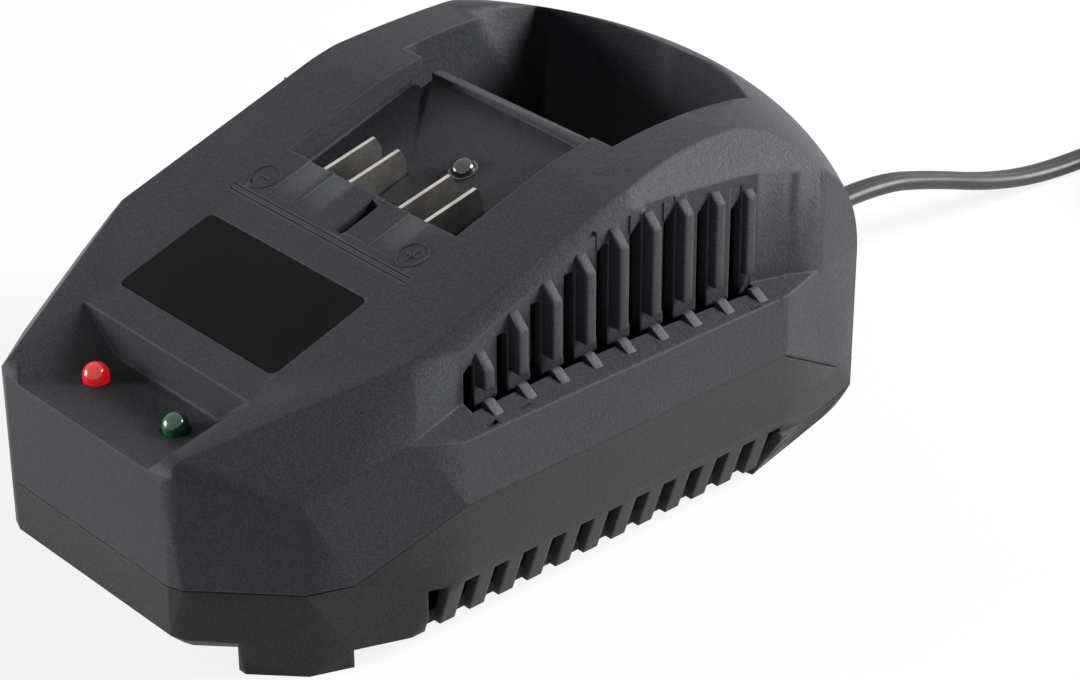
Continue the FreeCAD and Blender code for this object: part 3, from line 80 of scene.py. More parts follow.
class Nodes:
    """A material's node tree with short calls for the nodes that the finishes share."""

    def __init__(self, name):
        self.material = bpy.data.materials.new(name)
        self.material.use_nodes = True
        self.tree = self.material.node_tree
        self.shader = self.tree.nodes["Principled BSDF"]
        self.coords = self.tree.nodes.new("ShaderNodeTexCoord").outputs["Object"]

    def add(self, kind, inputs=None, **settings):
        node = self.tree.nodes.new(kind)
        for key, value in settings.items():
            setattr(node, key, value)
        for key, value in (inputs or {}).items():
            self.feed(value, node.inputs[key])
        return node

    def feed(self, value, socket):
        if isinstance(value, bpy.types.NodeSocket):
            self.tree.links.new(value, socket)
        else:
            socket.default_value = value

    def put(self, name, value):
        self.feed(value, self.shader.inputs[name])

    def noise(self, scale, detail=2.0, stretch=None, rough=0.5):
        vector = self.coords
        if stretch:
            mapping = self.add("ShaderNodeMapping", {"Vector": vector})
            mapping.inputs["Scale"].default_value = stretch
            vector = mapping.outputs["Vector"]
        return self.add("ShaderNodeTexNoise", {"Vector": vector, "Scale": scale, "Detail": detail,
                                               "Roughness": rough}).outputs["Fac"]

    def ramp(self, value, stops):
        node = self.add("ShaderNodeValToRGB", {"Fac": value})
        while len(node.color_ramp.elements) < len(stops):
            node.color_ramp.elements.new(0.5)
        for element, (place, colour) in zip(node.color_ramp.elements, stops):
            element.position = place
            element.color = (*colour, 1)
        return node.outputs["Color"]

    def span(self, value, low, high):
        node = self.add("ShaderNodeMapRange", {"Value": value, "To Min": low, "To Max": high})
        return node.outputs["Result"]

    def bump(self, height, strength, distance, normal=None):
        inputs = {"Height": height, "Strength": strength, "Distance": distance}
        if normal is not None:
            inputs["Normal"] = normal
        return self.add("ShaderNodeBump", inputs).outputs["Normal"]

    def edge_mask(self, radius):
        """Strong along edges and nothing on open faces: where the painted edge highlight goes."""
        rounded = self.add("ShaderNodeBevel", {"Radius": radius}, samples=4).outputs["Normal"]
        plain = self.add("ShaderNodeNewGeometry").outputs["Normal"]
        match = self.add("ShaderNodeVectorMath", {0: rounded, 1: plain}, operation="DOT_PRODUCT")
        reach = self.add("ShaderNodeMapRange", {"Value": match.outputs["Value"], "From Min": 0.99,
                                                "From Max": 0.8, "To Min": 0.0, "To Max": 0.6})
        return reach.outputs["Result"]

    def soft_edges(self, radius):
        return self.add("ShaderNodeBevel", {"Radius": radius}, samples=4).outputs["Normal"]


def shade(colour, factor):
    return tuple(min(max(c * factor, 0.0), 1.0) for c in colour)


COARSE_GRAIN = 3.5
SPECK_SHARE = 0.55
# Gain of the painted edge highlight over the plastic's colour
PAINTED_EDGE_HIGHLIGHT = 3.2
PLASTIC_SHINE = 0.11


def moulded(name, colour, roughness, grain=0.35, depth=0.00008, edge=0.0, speck=0.75):
    """Plastic from a spark-eroded mould: fine grain, pale specks, slow changes of shade, and with edge set, a
    painted highlight that lightens the colour along edges.
    """
    n = Nodes(name)
    fine = n.noise(1 / (grain * MM), 3.0, rough=0.6)
    coarse = n.noise(1 / (grain * MM * COARSE_GRAIN), 2.0)
    slow = n.noise(38.0, 3.0)
    tone = n.ramp(slow, [(0.3, shade(colour, 0.88)), (0.7, shade(colour, 1.12))])
    specks = n.ramp(fine, [(0.42, shade(colour, 1 - 0.35 * speck)), (0.66, shade(colour, 1 + speck))])
    mix = n.add("ShaderNodeMix", data_type="RGBA", blend_type="MIX")
    mix.inputs[0].default_value = SPECK_SHARE
    n.feed(tone, mix.inputs[6])
    n.feed(specks, mix.inputs[7])
    base = mix.outputs[2]
    # Painted highlight: the base colour is lightened along edges
    if edge:
        edge_highlight = n.add("ShaderNodeMix", data_type="RGBA", blend_type="MIX")
        n.feed(n.edge_mask(edge * 0.5), edge_highlight.inputs[0])
        n.feed(base, edge_highlight.inputs[6])
        edge_highlight.inputs[7].default_value = (*shade(colour, PAINTED_EDGE_HIGHLIGHT), 1)
        base = edge_highlight.outputs[2]
    n.put("Base Color", base)
    n.put("Roughness", n.span(coarse, roughness - 0.06, roughness + 0.08))
    n.put("Specular IOR Level", PLASTIC_SHINE)
    height = n.add("ShaderNodeMath", {0: fine, 1: coarse}, operation="ADD").outputs[0]
    normal = n.soft_edges(edge) if edge else None
    n.put("Normal", n.bump(height, 0.9, depth, normal))
    return n.material


def metal(name, colour, roughness, stretch=(1, 1, 1), scale=900.0, wear=0.25):
    """Plated or rolled metal with fine lines and dull patches."""
    n = Nodes(name)
    lines = n.noise(scale, 4.0, stretch)
    patches = n.noise(260.0, 3.0)
    n.put("Base Color", n.ramp(patches, [(0.3, shade(colour, 1 - wear)), (0.65, colour)]))
    n.put("Metallic", 1.0)
    n.put("Roughness", n.span(lines, max(roughness - 0.1, 0.05), roughness + 0.15))
    n.put("Normal", n.bump(lines, 0.3, 0.00002))
    return n.material


def glossy(name, colour, roughness, transmission=0.0, ripple=0.00001, glow=0.0, coat=0.0, shine=0.5):
    """Smooth moulded or lacquered surface with a slight waviness."""
    n = Nodes(name)
    wave = n.noise(420.0, 2.0)
    slow = n.noise(60.0, 2.0)
    n.put("Base Color", n.ramp(slow, [(0.3, shade(colour, 0.85)), (0.7, shade(colour, 1.1))]))
    n.put("Roughness", n.span(wave, roughness * 0.8, roughness * 1.3))
    n.put("Transmission Weight", transmission)
    n.put("Coat Weight", coat)
    n.put("Specular IOR Level", shine)
    if glow:
        n.put("Emission Color", (*colour, 1))
        n.put("Emission Strength", glow)
    n.put("Normal", n.bump(wave, 0.3, ripple))
    return n.material


def laminate(name):
    """Green lacquered board with woven glass under the lacquer."""
    n = Nodes(name)
    weave = n.add("ShaderNodeTexWave", {"Vector": n.coords, "Scale": 500.0, "Distortion": 1.5})
    greens = [(0.0, (0.006, 0.07, 0.022)), (1.0, (0.012, 0.1, 0.035))]
    n.put("Base Color", n.ramp(weave.outputs["Fac"], greens))
    n.put("Roughness", n.span(n.noise(300.0), 0.25, 0.45))
    n.put("Normal", n.bump(weave.outputs["Fac"], 0.2, 0.00003))
    return n.material


def taped(name):
    """Windings under yellow tape, wound in thin lines."""
    n = Nodes(name)
    lines = n.noise(700.0, 2.0, (0.05, 0.05, 3.0))
    n.put("Base Color", n.ramp(lines, [(0.3, (0.45, 0.24, 0.02)), (0.7, (0.62, 0.36, 0.04))]))
    n.put("Roughness", n.span(lines, 0.35, 0.6))
    n.put("Normal", n.bump(lines, 0.5, 0.0001))
    return n.material


CASING_SHADE = (0.040, 0.0415, 0.047)
FINISHES = {
    # edge= on casing_upper, casing_lower and plug_plastic paints a highlight along their edges
    "casing_upper": moulded("casing_upper", CASING_SHADE, 0.46, edge=0.0009),
    "casing_lower": moulded("casing_lower", (0.036, 0.036, 0.037), 0.5, grain=0.3, depth=0.00005,
                            edge=0.0009),
    "label_film": glossy("label_film", (0.004, 0.004, 0.005), 0.16, shine=0.05),
    "lamp_red": glossy("lamp_red", (0.85, 0.02, 0.03), 0.12, transmission=0.35, glow=0.25, coat=0.5),
    "lamp_green": glossy("lamp_green", (0.02, 0.16, 0.07), 0.12, transmission=0.35, coat=0.5),
    "black_plastic": moulded("black_plastic", (0.02, 0.02, 0.021), 0.45, grain=0.25, depth=0.00003),
    "contact_metal": metal("contact_metal", (0.55, 0.53, 0.49), 0.3, (0.2, 1.0, 6.0)),
    "steel": metal("steel", (0.58, 0.59, 0.6), 0.32),
    "pin_metal": metal("pin_metal", (0.7, 0.68, 0.64), 0.2, (1.0, 0.1, 1.0)),
    "board": laminate("board"),
    "ferrite": moulded("ferrite", (0.03, 0.03, 0.031), 0.7, grain=0.2, depth=0.00005),
    "winding": taped("winding"),
    "can_sleeve": glossy("can_sleeve", (0.012, 0.016, 0.05), 0.3),
    "heatsink_metal": metal("heatsink_metal", (0.75, 0.76, 0.78), 0.4, (1.0, 1.0, 0.08)),
    "fuse_glass": glossy("fuse_glass", (0.85, 0.9, 0.9), 0.06, transmission=0.9),
    "film_box": glossy("film_box", (0.55, 0.35, 0.03), 0.35),
    "wire_red": glossy("wire_red", (0.3, 0.02, 0.015), 0.35),
    "cord_sheath": glossy("cord_sheath", (0.035, 0.036, 0.039), 0.36, ripple=0.00003, shine=0.25),
    "plug_plastic": moulded("plug_plastic", (0.03, 0.03, 0.032), 0.42, grain=0.4, depth=0.00005, edge=0.0012),
}
for entry in frame["record"]["subparts"]:
    node = frame["nodes"][entry["node"]]
    node.data.materials.clear()
    node.data.materials.append(FINISHES[entry["material_slot"]])


# Forms of the casing that the construction keeps plain, in millimetres


def link(obj):
    bpy.context.scene.collection.objects.link(obj)
    return obj


AXES = {"x": (1, 2, 0), "y": (0, 2, 1), "z": (0, 1, 2)}


def prism(bm, outline, start, end, axis):
    """Adds a closed solid: outline lies across axis, and start and end are numbers or rules of a point."""
    first, second, along = AXES[axis]
    loops = []
    for level in (start, end):
        loop = []
        for point in outline:
            place = [0.0, 0.0, 0.0]
            place[first], place[second] = point
            place[along] = level(*point) if callable(level) else level
            loop.append(bm.verts.new(Vector(place) * MM))
        loops.append(loop)
    low, high = loops
    faces = [bm.faces.new(low), bm.faces.new(high[::-1])]
    for k in range(len(outline)):
        after = (k + 1) % len(outline)
        faces.append(bm.faces.new((low[after], low[k], high[k], high[after])))
    bmesh.ops.recalc_face_normals(bm, faces=faces)


def piece(name, bm, slot, bevel=0.0, angle=30, finish=None):
    """Turns bm into a finished piece of the casing."""
    if bevel:
        bmesh.ops.bevel(bm, geom=bm.edges[:], offset=bevel * MM, segments=2, profile=0.6, affect="EDGES",
                        clamp_overlap=True)
    mesh = bpy.data.meshes.new(name)
    bm.to_mesh(mesh)
    bm.free()
    mesh.shade_smooth()
    mesh.set_sharp_from_angle(angle=math.radians(angle))
    obj = link(bpy.data.objects.new(name, mesh))
    mesh.materials.append(finish or FINISHES[slot])
    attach(obj, "root")
    return obj


def closed_copy(node):
    """A construction node's mesh with its seams joined."""
    bm = bmesh.new()
    bm.from_mesh(frame["nodes"][node].data)
    bmesh.ops.remove_doubles(bm, verts=bm.verts, dist=0.001 * MM)
    return bm


def convex_copy(node):
    """The closed convex form round a construction node."""
    source = closed_copy(node)
    bm = bmesh.new()
    for vert in source.verts:
        bm.verts.new(vert.co)
    source.free()
    bmesh.ops.convex_hull(bm, input=bm.verts)
    bmesh.ops.delete(bm, geom=[v for v in bm.verts if not v.link_faces], context="VERTS")
    bmesh.ops.recalc_face_normals(bm, faces=bm.faces)
    return bm


def combine(name, body, tools, operation):
    """An object of body with each tool cut from it, or crossed with it."""
    mesh = bpy.data.meshes.new(name)
    body.to_mesh(mesh)
    body.free()
    obj = link(bpy.data.objects.new(name, mesh))
    held = []
    for tool in tools:
        tool_mesh = bpy.data.meshes.new("tool")
        tool.to_mesh(tool_mesh)
        tool.free()
        held.append(link(bpy.data.objects.new("tool", tool_mesh)))
        step = obj.modifiers.new("step", "BOOLEAN")
        step.operation = operation
        step.solver = "EXACT"
        step.object = held[-1]
    bpy.context.view_layer.update()
    result = bpy.data.meshes.new_from_object(obj.evaluated_get(bpy.context.evaluated_depsgraph_get()))
    obj.modifiers.clear()
    obj.data = result
    for tool in held:
        bpy.data.objects.remove(tool)
    return obj


def dress(obj, slot, angle=22):
    obj.data.materials.clear()
    obj.data.materials.append(FINISHES[slot])
    obj.data.shade_smooth()
    obj.data.set_sharp_from_angle(angle=math.radians(angle))
    even = obj.modifiers.new("even", "WEIGHTED_NORMAL")
    even.keep_sharp = True
    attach(obj, "root")
    return obj


def carve(name, node, cutters, slot):
    """A copy of a construction node with the cutters taken out of it, shown in its place."""
    obj = dress(combine(name, closed_copy(node), cutters, "DIFFERENCE"), slot)
    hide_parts(node)
    return obj


casing_corners = [Vector(c) for c in frame["nodes"]["upper_casing"].bound_box]
HALF_LENGTH = max(c.y for c in casing_corners) / MM
HALF_WIDTH = max(c.x for c in casing_corners) / MM
ROOF_FRONT = 40.9
ROOF_BEND_HEIGHT = 69.0
ROOF_BEND_DEPTH = 86.0
ROOF_SLOPE = (ROOF_BEND_HEIGHT - ROOF_FRONT) / ROOF_BEND_DEPTH
SKY = 90.0
CUTTER_REACH = 4.0
BOTH_SIDES = (1, -1)

# Louvre hollow: a sloping sill, and a wall given by its distance from the middle at each depth
SILL_EDGE = 41.4
SILL_RISE = 2.2
SILL_RUN = 7.5
LOUVRE_FRONT = 32.5
LOUVRE_REAR = 133.0
WALL_KNEE = 48.0
WALL_TURN = 113.0
WALL_KNEE_X = 45.2
WALL_FLARE = 3.6
WALL_GAIN = 0.8
WALL_BOW = 3.6
WALL_SWEEP = 0.068
WALL_CURL = 0.00735
WALL_STEP = 5.0
REAR_STEP = 3.0

# Ribs on the wall, whose tops follow an arc, and the slot in front of each
RIB_COUNT = 9
RIB_FIRST = 53.2
RIB_PITCH = 7.98
RIB_LAST = RIB_FIRST + RIB_PITCH * (RIB_COUNT - 1)
RIB_WIDTH = 2.2
RIB_FACE = 47.7
RIB_FOOT = 46.0
RIB_ROOT = 1.2
RIB_CREST = 66.2
RIB_CREST_DEPTH = 95.9
RIB_ARC = 73.8
RIB_SKIN_INSET = 0.3
UNDER_SKIN = 0.6
RIM_INSET = 0.15
RIM_MISS = 3.0
RIM_SPARE = 0.4
SLOT_WIDTH = 2.6
SLOT_EDGE = 1.35
SLOT_LAP = 0.1
SLOT_FRONT_DROP = 3.4
SLOT_REAR_DROP = 0.9
SLOT_FILL_RISE = 2.6
SLOT_FILL_DEPTH = 1.8
SLOT_FILL_INSET = 0.04

# Channel at the ribs' feet, and the tabs and the strip of the sill outside it
CHANNEL_INSET = 0.05
CHANNEL_WIDTH = 2.4
CHANNEL_FLOOR = 39.4
CHANNEL_TOP = RIB_FOOT - 0.4
TAB_OVERHANG = 0.8
TAB_LENGTH = 3.6
TAB_CREST = 1.0
TAB_NEAR_SINK = 1.3
TAB_FAR_SINK = 1.0
TAB_NEAR_HEIGHT = 0.6
TAB_CREST_HEIGHT = 0.75
TAB_FAR_HEIGHT = 0.15
STRIP_BEFORE = 6.0
STRIP_AFTER = 4.0
STRIP_STEP = 4.0
STRIP_FAR = 5.6
STRIP_DEPTH = 1.8
STRIP_LIFT = 0.03

# Roof: trimmed shoulders, two fine lines, and a shallow groove in line with each blade
SHOULDER_SUM = 112.3
SHOULDER_NEAR = 20
SHOULDER_FAR = 70
SHOULDER_TOP = 120
SHOULDER_REACH = 2
ROOF_LINES = (52.9, 54.1)
ROOF_LINE_WIDTH = 0.4
ROOF_LINE_CUT = 0.35
ROOF_LINE_HALF = 25.5
BLADES = (-14.5, -7.2, 7.2, 14.5)
GROOVE_START = 56.2
GROOVE_END = 68.0
GROOVE_CUT = 0.22
GROOVE_HALF = 3.05
OVER_ROOF = 3


def behind(depth):
    """Y of a place that lies depth behind the front face."""
    return depth - HALF_LENGTH


def roof(depth):
    return ROOF_FRONT + ROOF_SLOPE * depth


def sill(x):
    """Height of the sloping sill at a distance from the middle."""
    return SILL_EDGE + SILL_RISE / SILL_RUN * (HALF_WIDTH - abs(x))


def wall(depth):
    """Distance of the louvre wall from the middle: straight, bowed inwards, then sweeping out."""
    if depth < WALL_KNEE:
        return WALL_KNEE_X + WALL_FLARE * (WALL_KNEE - depth) / (WALL_KNEE - LOUVRE_FRONT)
    if depth < WALL_TURN:
        share = (depth - WALL_KNEE) / (WALL_TURN - WALL_KNEE)
        return WALL_KNEE_X + WALL_GAIN * share - WALL_BOW * share * (1 - share)
    past = depth - WALL_TURN
    return WALL_KNEE_X + WALL_GAIN + WALL_SWEEP * past + WALL_CURL * past ** 2


def wall_line(first, last, step):
    """Depths from first to last, about step apart."""
    count = max(int((last - first) / step), 1)
    return [first + (last - first) * k / count for k in range(count + 1)]


def along_wall(bm, side, line, near, far, bottom, top):
    """Adds a strip that follows the louvre wall, from near to far outside it."""
    prism(bm, [(side * (wall(d) + near), behind(d)) for d in line]
          + [(side * (wall(d) + far), behind(d)) for d in reversed(line)], bottom, top, "z")


cutters = []
for side in BOTH_SIDES:
    depths = [LOUVRE_FRONT] + wall_line(WALL_KNEE, WALL_TURN, WALL_STEP)
    depths += wall_line(WALL_TURN + REAR_STEP, LOUVRE_REAR, REAR_STEP)
    outside = side * (HALF_WIDTH + CUTTER_REACH)
    plan = [(side * wall(d), behind(d)) for d in depths]
    plan += [(outside, behind(LOUVRE_REAR)), (outside, behind(LOUVRE_FRONT))]
    louvre = bmesh.new()
    prism(louvre, plan, lambda x, y: sill(x), SKY, "z")
    cutters.append(louvre)
    line = wall_line(RIB_FIRST - SLOT_EDGE - SLOT_WIDTH, RIB_LAST + RIB_WIDTH / 2, WALL_STEP)
    channel = bmesh.new()
    along_wall(channel, side, line, -CHANNEL_INSET, CHANNEL_WIDTH, CHANNEL_FLOOR, CHANNEL_TOP)
    cutters.append(channel)
    trim = ((SHOULDER_NEAR, SHOULDER_SUM - SHOULDER_NEAR), (SHOULDER_FAR, SHOULDER_SUM - SHOULDER_FAR),
            (SHOULDER_FAR, SHOULDER_TOP), (SHOULDER_NEAR, SHOULDER_TOP))
    shoulder = bmesh.new()
    prism(shoulder, [(side * x, z) for x, z in trim],
          -HALF_LENGTH - SHOULDER_REACH, HALF_LENGTH + SHOULDER_REACH, "y")
    cutters.append(shoulder)
for start in ROOF_LINES:
    end = start + ROOF_LINE_WIDTH
    mark = bmesh.new()
    prism(mark, [(behind(start), roof(start) - ROOF_LINE_CUT), (behind(end), roof(end) - ROOF_LINE_CUT),
                 (behind(end), roof(start) + OVER_ROOF), (behind(start), roof(start) + OVER_ROOF)],
          -ROOF_LINE_HALF, ROOF_LINE_HALF, "x")
    cutters.append(mark)
for x in BLADES:
    groove = bmesh.new()
    prism(groove, [(behind(GROOVE_START), roof(GROOVE_START) - GROOVE_CUT),
                   (behind(GROOVE_END), roof(GROOVE_END) - GROOVE_CUT),
                   (behind(GROOVE_END), roof(GROOVE_END) + OVER_ROOF),
                   (behind(GROOVE_START), roof(GROOVE_START) + OVER_ROOF)],
          x - GROOVE_HALF, x + GROOVE_HALF, "x")
    cutters.append(groove)
casing = carve("upper_casing_form", "upper_casing", cutters, "casing_upper")


def skin(x, depth):
    """Height of the casing's skin over a place."""
    _, place, _, _ = casing.ray_cast(Vector((x, behind(depth), SKY)) * MM, Vector((0, 0, -1)))
    return place.z / MM


def rim(depth, rib_top):
    """Just under the skin over the louvre wall, or near the rib's top where the ray misses the wall."""
    height = skin(wall(depth) - RIM_INSET, depth) - UNDER_SKIN
    return height if height > rib_top - RIM_MISS else rib_top + RIM_SPARE


def rib_profile(inner, top):
    """Section of a rib, whose top slopes from the wall down to its face."""
    return [(inner - RIB_ROOT, RIB_FOOT), (RIB_FACE, RIB_FOOT), (RIB_FACE, top - (RIB_FACE - inner)),
            (inner, top), (inner - RIB_ROOT, top)]


def tab_profile(inner):
    """Section of the low tab that lies on the sill in line with a rib."""
    near = inner + CHANNEL_WIDTH - TAB_OVERHANG
    far = near + TAB_LENGTH
    return [(near, sill(near) - TAB_NEAR_SINK), (far, sill(far) - TAB_FAR_SINK),
            (far, sill(far) + TAB_FAR_HEIGHT), (near + TAB_CREST, sill(near) + TAB_CREST_HEIGHT),
            (near, sill(near) + TAB_NEAR_HEIGHT)]


def slot_cap(front, rear, top):
    """Side outline of the fill above a slot, kept under the skin."""
    cap = [(behind(front - SLOT_LAP), top - SLOT_FRONT_DROP), (behind(rear + SLOT_LAP), top - SLOT_REAR_DROP),
           (behind(rear + SLOT_LAP), top + SLOT_FILL_RISE), (behind(front - SLOT_LAP), top + SLOT_FILL_RISE)]
    return [(y, min(z, rim(y + HALF_LENGTH, top))) for y, z in cap]


ribs = bmesh.new()
feet = bmesh.new()
fill = bmesh.new()
strip = bmesh.new()
for side in BOTH_SIDES:
    for number in range(RIB_COUNT):
        depth = RIB_FIRST + RIB_PITCH * number
        start = behind(depth - RIB_WIDTH / 2)
        end = behind(depth + RIB_WIDTH / 2)
        inner = wall(depth)
        arc = RIB_CREST - RIB_ARC + math.sqrt(RIB_ARC ** 2 - (depth - RIB_CREST_DEPTH) ** 2)
        top = min(arc, skin(side * (inner - RIB_SKIN_INSET), depth) - UNDER_SKIN)
        prism(ribs, [(side * x, z) for x, z in rib_profile(inner, top)], start, end, "y")
        prism(feet, [(side * x, z) for x, z in tab_profile(inner)], start, end, "y")
        rear = depth - SLOT_EDGE
        front = rear - SLOT_WIDTH
        face = min(wall(front), wall(rear)) - SLOT_FILL_INSET
        prism(fill, slot_cap(front, rear, top), side * (face - SLOT_FILL_DEPTH), side * face, "x")
    line = wall_line(RIB_FIRST - STRIP_BEFORE, RIB_LAST + STRIP_AFTER, STRIP_STEP)
    along_wall(strip, side, line, CHANNEL_WIDTH, STRIP_FAR,
               lambda x, y: sill(x) - STRIP_DEPTH, lambda x, y: sill(x) + STRIP_LIFT)
flush = moulded("casing_flush", CASING_SHADE, 0.46)
# Lighter copy of the casing plastic for the sill tabs: a painted highlight where the tabs catch the light
painted_highlight_finish = moulded("casing_painted_highlight", shade(CASING_SHADE, 1.9), 0.42)
piece("sill_strip", strip, "casing_upper", finish=flush)
piece("louvre_ribs", ribs, "casing_upper", bevel=0.28)
piece("sill_feet", feet, "casing_upper", bevel=0.3, finish=painted_highlight_finish)
piece("louvre_slot_tops", fill, "casing_upper", finish=flush)


# Bevel under the rear corner faces, closed by a panel on the same plane

CORNER_START_DEPTH = 122.6
CORNER_END_DEPTH = 147.4
CORNER_END_X = 46.7
CORNER_START = Vector((HALF_WIDTH, behind(CORNER_START_DEPTH), 0))
CORNER_END = Vector((CORNER_END_X, behind(CORNER_END_DEPTH), 0))
CORNER_FIRST = 0.2
CORNER_LAST = 45.0
SKIRT_TOP = 10.5
SKIRT_RUN = 6.6
SKIRT_PAST = 6.0
SKIRT_DROP = SKIRT_PAST * SKIRT_TOP / SKIRT_RUN
SKIRT_INNER = -SKIRT_RUN - SKIRT_PAST
PANEL_IN = 2.0
PANEL_UP = 1.0
BELOW_BEVEL = [(SKIRT_INNER, -SKIRT_DROP), (SKIRT_PAST, -SKIRT_DROP), (SKIRT_PAST, SKIRT_TOP), (0, SKIRT_TOP)]
BEVEL_PANEL = [(SKIRT_INNER, -SKIRT_DROP), (0, SKIRT_TOP), (-PANEL_IN, SKIRT_TOP + PANEL_UP),
               (SKIRT_INNER - PANEL_IN, -SKIRT_DROP + PANEL_UP)]
corner_turn = math.atan2(CORNER_START.x - CORNER_END.x, CORNER_END.y - CORNER_START.y)


def corner_form(section, side):
    """A prism along the right rear corner face, or its mirror image on the left."""
    bm = bmesh.new()
    prism(bm, section, CORNER_FIRST, CORNER_LAST, "y")
    bmesh.ops.transform(bm, verts=bm.verts, matrix=Matrix.Translation(CORNER_START * MM)
                        @ Matrix.Rotation(corner_turn, 4, "Z"))
    if side < 0:
        bmesh.ops.scale(bm, verts=bm.verts, vec=(-1, 1, 1))
        bmesh.ops.reverse_faces(bm, faces=bm.faces)
    return bm


corner_cuts = [corner_form(BELOW_BEVEL, side) for side in BOTH_SIDES]
carve("lower_casing_form", "lower_casing", corner_cuts, "casing_lower")
for name, side in zip(("corner_panel_right", "corner_panel_left"), BOTH_SIDES):
    panel = corner_form(BEVEL_PANEL, side)
    dress(combine(name, panel, [convex_copy("lower_casing")], "INTERSECT"), "casing_lower")


# Marks on the roof and the peg in the bay

MARK_DEPTH = 58.5
MINUS_X = -21.7
PLUS_X = 20.9
MARK_RADIUS = 3.1
MARK_HEIGHT = 0.2
BAR_LENGTH = 3.4
BAR_WIDTH = 0.5
BAR_SINK = 0.2
BAR_DRAFT = 0.1
PEG_X = 2.4
PEG_DEPTH = 86.4
PEG_RADIUS = 2.4
PEG_FLANGE = 0.5
PEG_DOME = 0.75
PEG_LIFT = 0.5
BAY_FLOOR = 8.2
EAST = Vector((1, 0, 0))
SLOPE = Vector((0, 1, ROOF_SLOPE)).normalized()
UP = EAST.cross(SLOPE)


def on_roof(x, depth):
    return Vector((x, behind(depth), roof(depth)))


def ring(bm, centre, across, ahead, radius, thick, count=40, sides=8):
    """A round bead along a circle."""
    up = across.cross(ahead)
    rings = []
    for k in range(count):
        turn = 2 * math.pi * k / count
        out = across * math.cos(turn) + ahead * math.sin(turn)
        loop = []
        for a in (2 * math.pi * j / sides for j in range(sides)):
            place = centre + out * (radius + thick * math.cos(a)) + up * thick * math.sin(a)
            loop.append(bm.verts.new(place * MM))
        rings.append(loop)
    for k in range(count):
        for j in range(sides):
            bm.faces.new((rings[k][j], rings[(k + 1) % count][j], rings[(k + 1) % count][(j + 1) % sides],
                          rings[k][(j + 1) % sides]))


def bar(bm, centre, across, ahead, length, width, height):
    """A low bar with a narrower top."""
    up = across.cross(ahead)
    corners = ((-1, -1), (1, -1), (1, 1), (-1, 1))
    low = [centre + across * a * length / 2 + ahead * b * width / 2 - up * BAR_SINK for a, b in corners]
    high = [centre + across * a * (length / 2 - BAR_DRAFT) + ahead * b * (width / 2 - BAR_DRAFT) + up * height
            for a, b in corners]
    low = [bm.verts.new(v * MM) for v in low]
    high = [bm.verts.new(v * MM) for v in high]
    bm.faces.new(low[::-1])
    bm.faces.new(high)
    for k in range(4):
        bm.faces.new((low[k], low[(k + 1) % 4], high[(k + 1) % 4], high[k]))


def close_rings(bm, rings):
    """Faces between neighbouring rings, and one over each end."""
    count = len(rings[0])
    for first, second in zip(rings, rings[1:]):
        for k in range(count):
            after = (k + 1) % count
            bm.faces.new((first[k], first[after], second[after], second[k]))
    bm.faces.new(rings[0][::-1])
    bm.faces.new(rings[-1])


def lathe(bm, profile, centre, axis, across, count=32):
    """A solid of revolution; profile gives (radius, height) pairs from bottom to top."""
    side = axis.cross(across)
    rings = []
    for radius, height in profile:
        loop = []
        for a in (2 * math.pi * k / count for k in range(count)):
            out = across * math.cos(a) + side * math.sin(a)
            loop.append(bm.verts.new((centre + axis * height + out * radius) * MM))
        rings.append(loop)
    close_rings(bm, rings)


marks = bmesh.new()
for x, plus in ((MINUS_X, False), (PLUS_X, True)):
    centre = on_roof(x, MARK_DEPTH)
    ring(marks, centre, EAST, SLOPE, MARK_RADIUS, MARK_HEIGHT)
    bar(marks, centre, EAST, SLOPE, BAR_LENGTH, BAR_WIDTH, MARK_HEIGHT)
    if plus:
        bar(marks, centre, SLOPE, -EAST, BAR_LENGTH, BAR_WIDTH, MARK_HEIGHT)
bmesh.ops.recalc_face_normals(marks, faces=marks.faces)
piece("polarity_marks", marks, "casing_upper", angle=50)

peg = bmesh.new()
flange = [(PEG_RADIUS + PEG_FLANGE, -0.6), (PEG_RADIUS + PEG_FLANGE, 0.25), (PEG_RADIUS, 0.35)]
dome = [(PEG_RADIUS * math.cos(a), PEG_RADIUS * PEG_DOME * math.sin(a) + PEG_LIFT)
        for a in (math.pi / 2 * k / 8 for k in range(8))]
tip = [(0.2, PEG_RADIUS * PEG_DOME + PEG_LIFT)]
lathe(peg, flange + dome + tip, Vector((PEG_X, behind(PEG_DEPTH), roof(PEG_DEPTH) - BAY_FLOOR)), UP, EAST)
peg_finish = glossy("peg_gloss", (0.02, 0.021, 0.023), 0.12, shine=0.8)
piece("bay_peg", peg, "black_plastic", angle=40, finish=peg_finish)


# Supply cord: a flat two-core lead on the route of the construction's tube


def route_points(controls):
    """Points read from the smooth line through the route's control points."""
    curve = bpy.data.curves.new("cord_route", "CURVE")
    curve.dimensions = "3D"
    curve.resolution_u = 8
    spline = curve.splines.new("NURBS")
    spline.points.add(len(controls) - 1)
    for point, place in zip(spline.points, controls):
        point.co = (*place, 1)
    spline.order_u = 3
    spline.use_endpoint_u = True
    holder = link(bpy.data.objects.new("cord_route", curve))
    mesh = bpy.data.meshes.new_from_object(holder)
    points = [v.co.copy() for v in mesh.vertices]
    bpy.data.objects.remove(holder)
    bpy.data.meshes.remove(mesh)
    return points


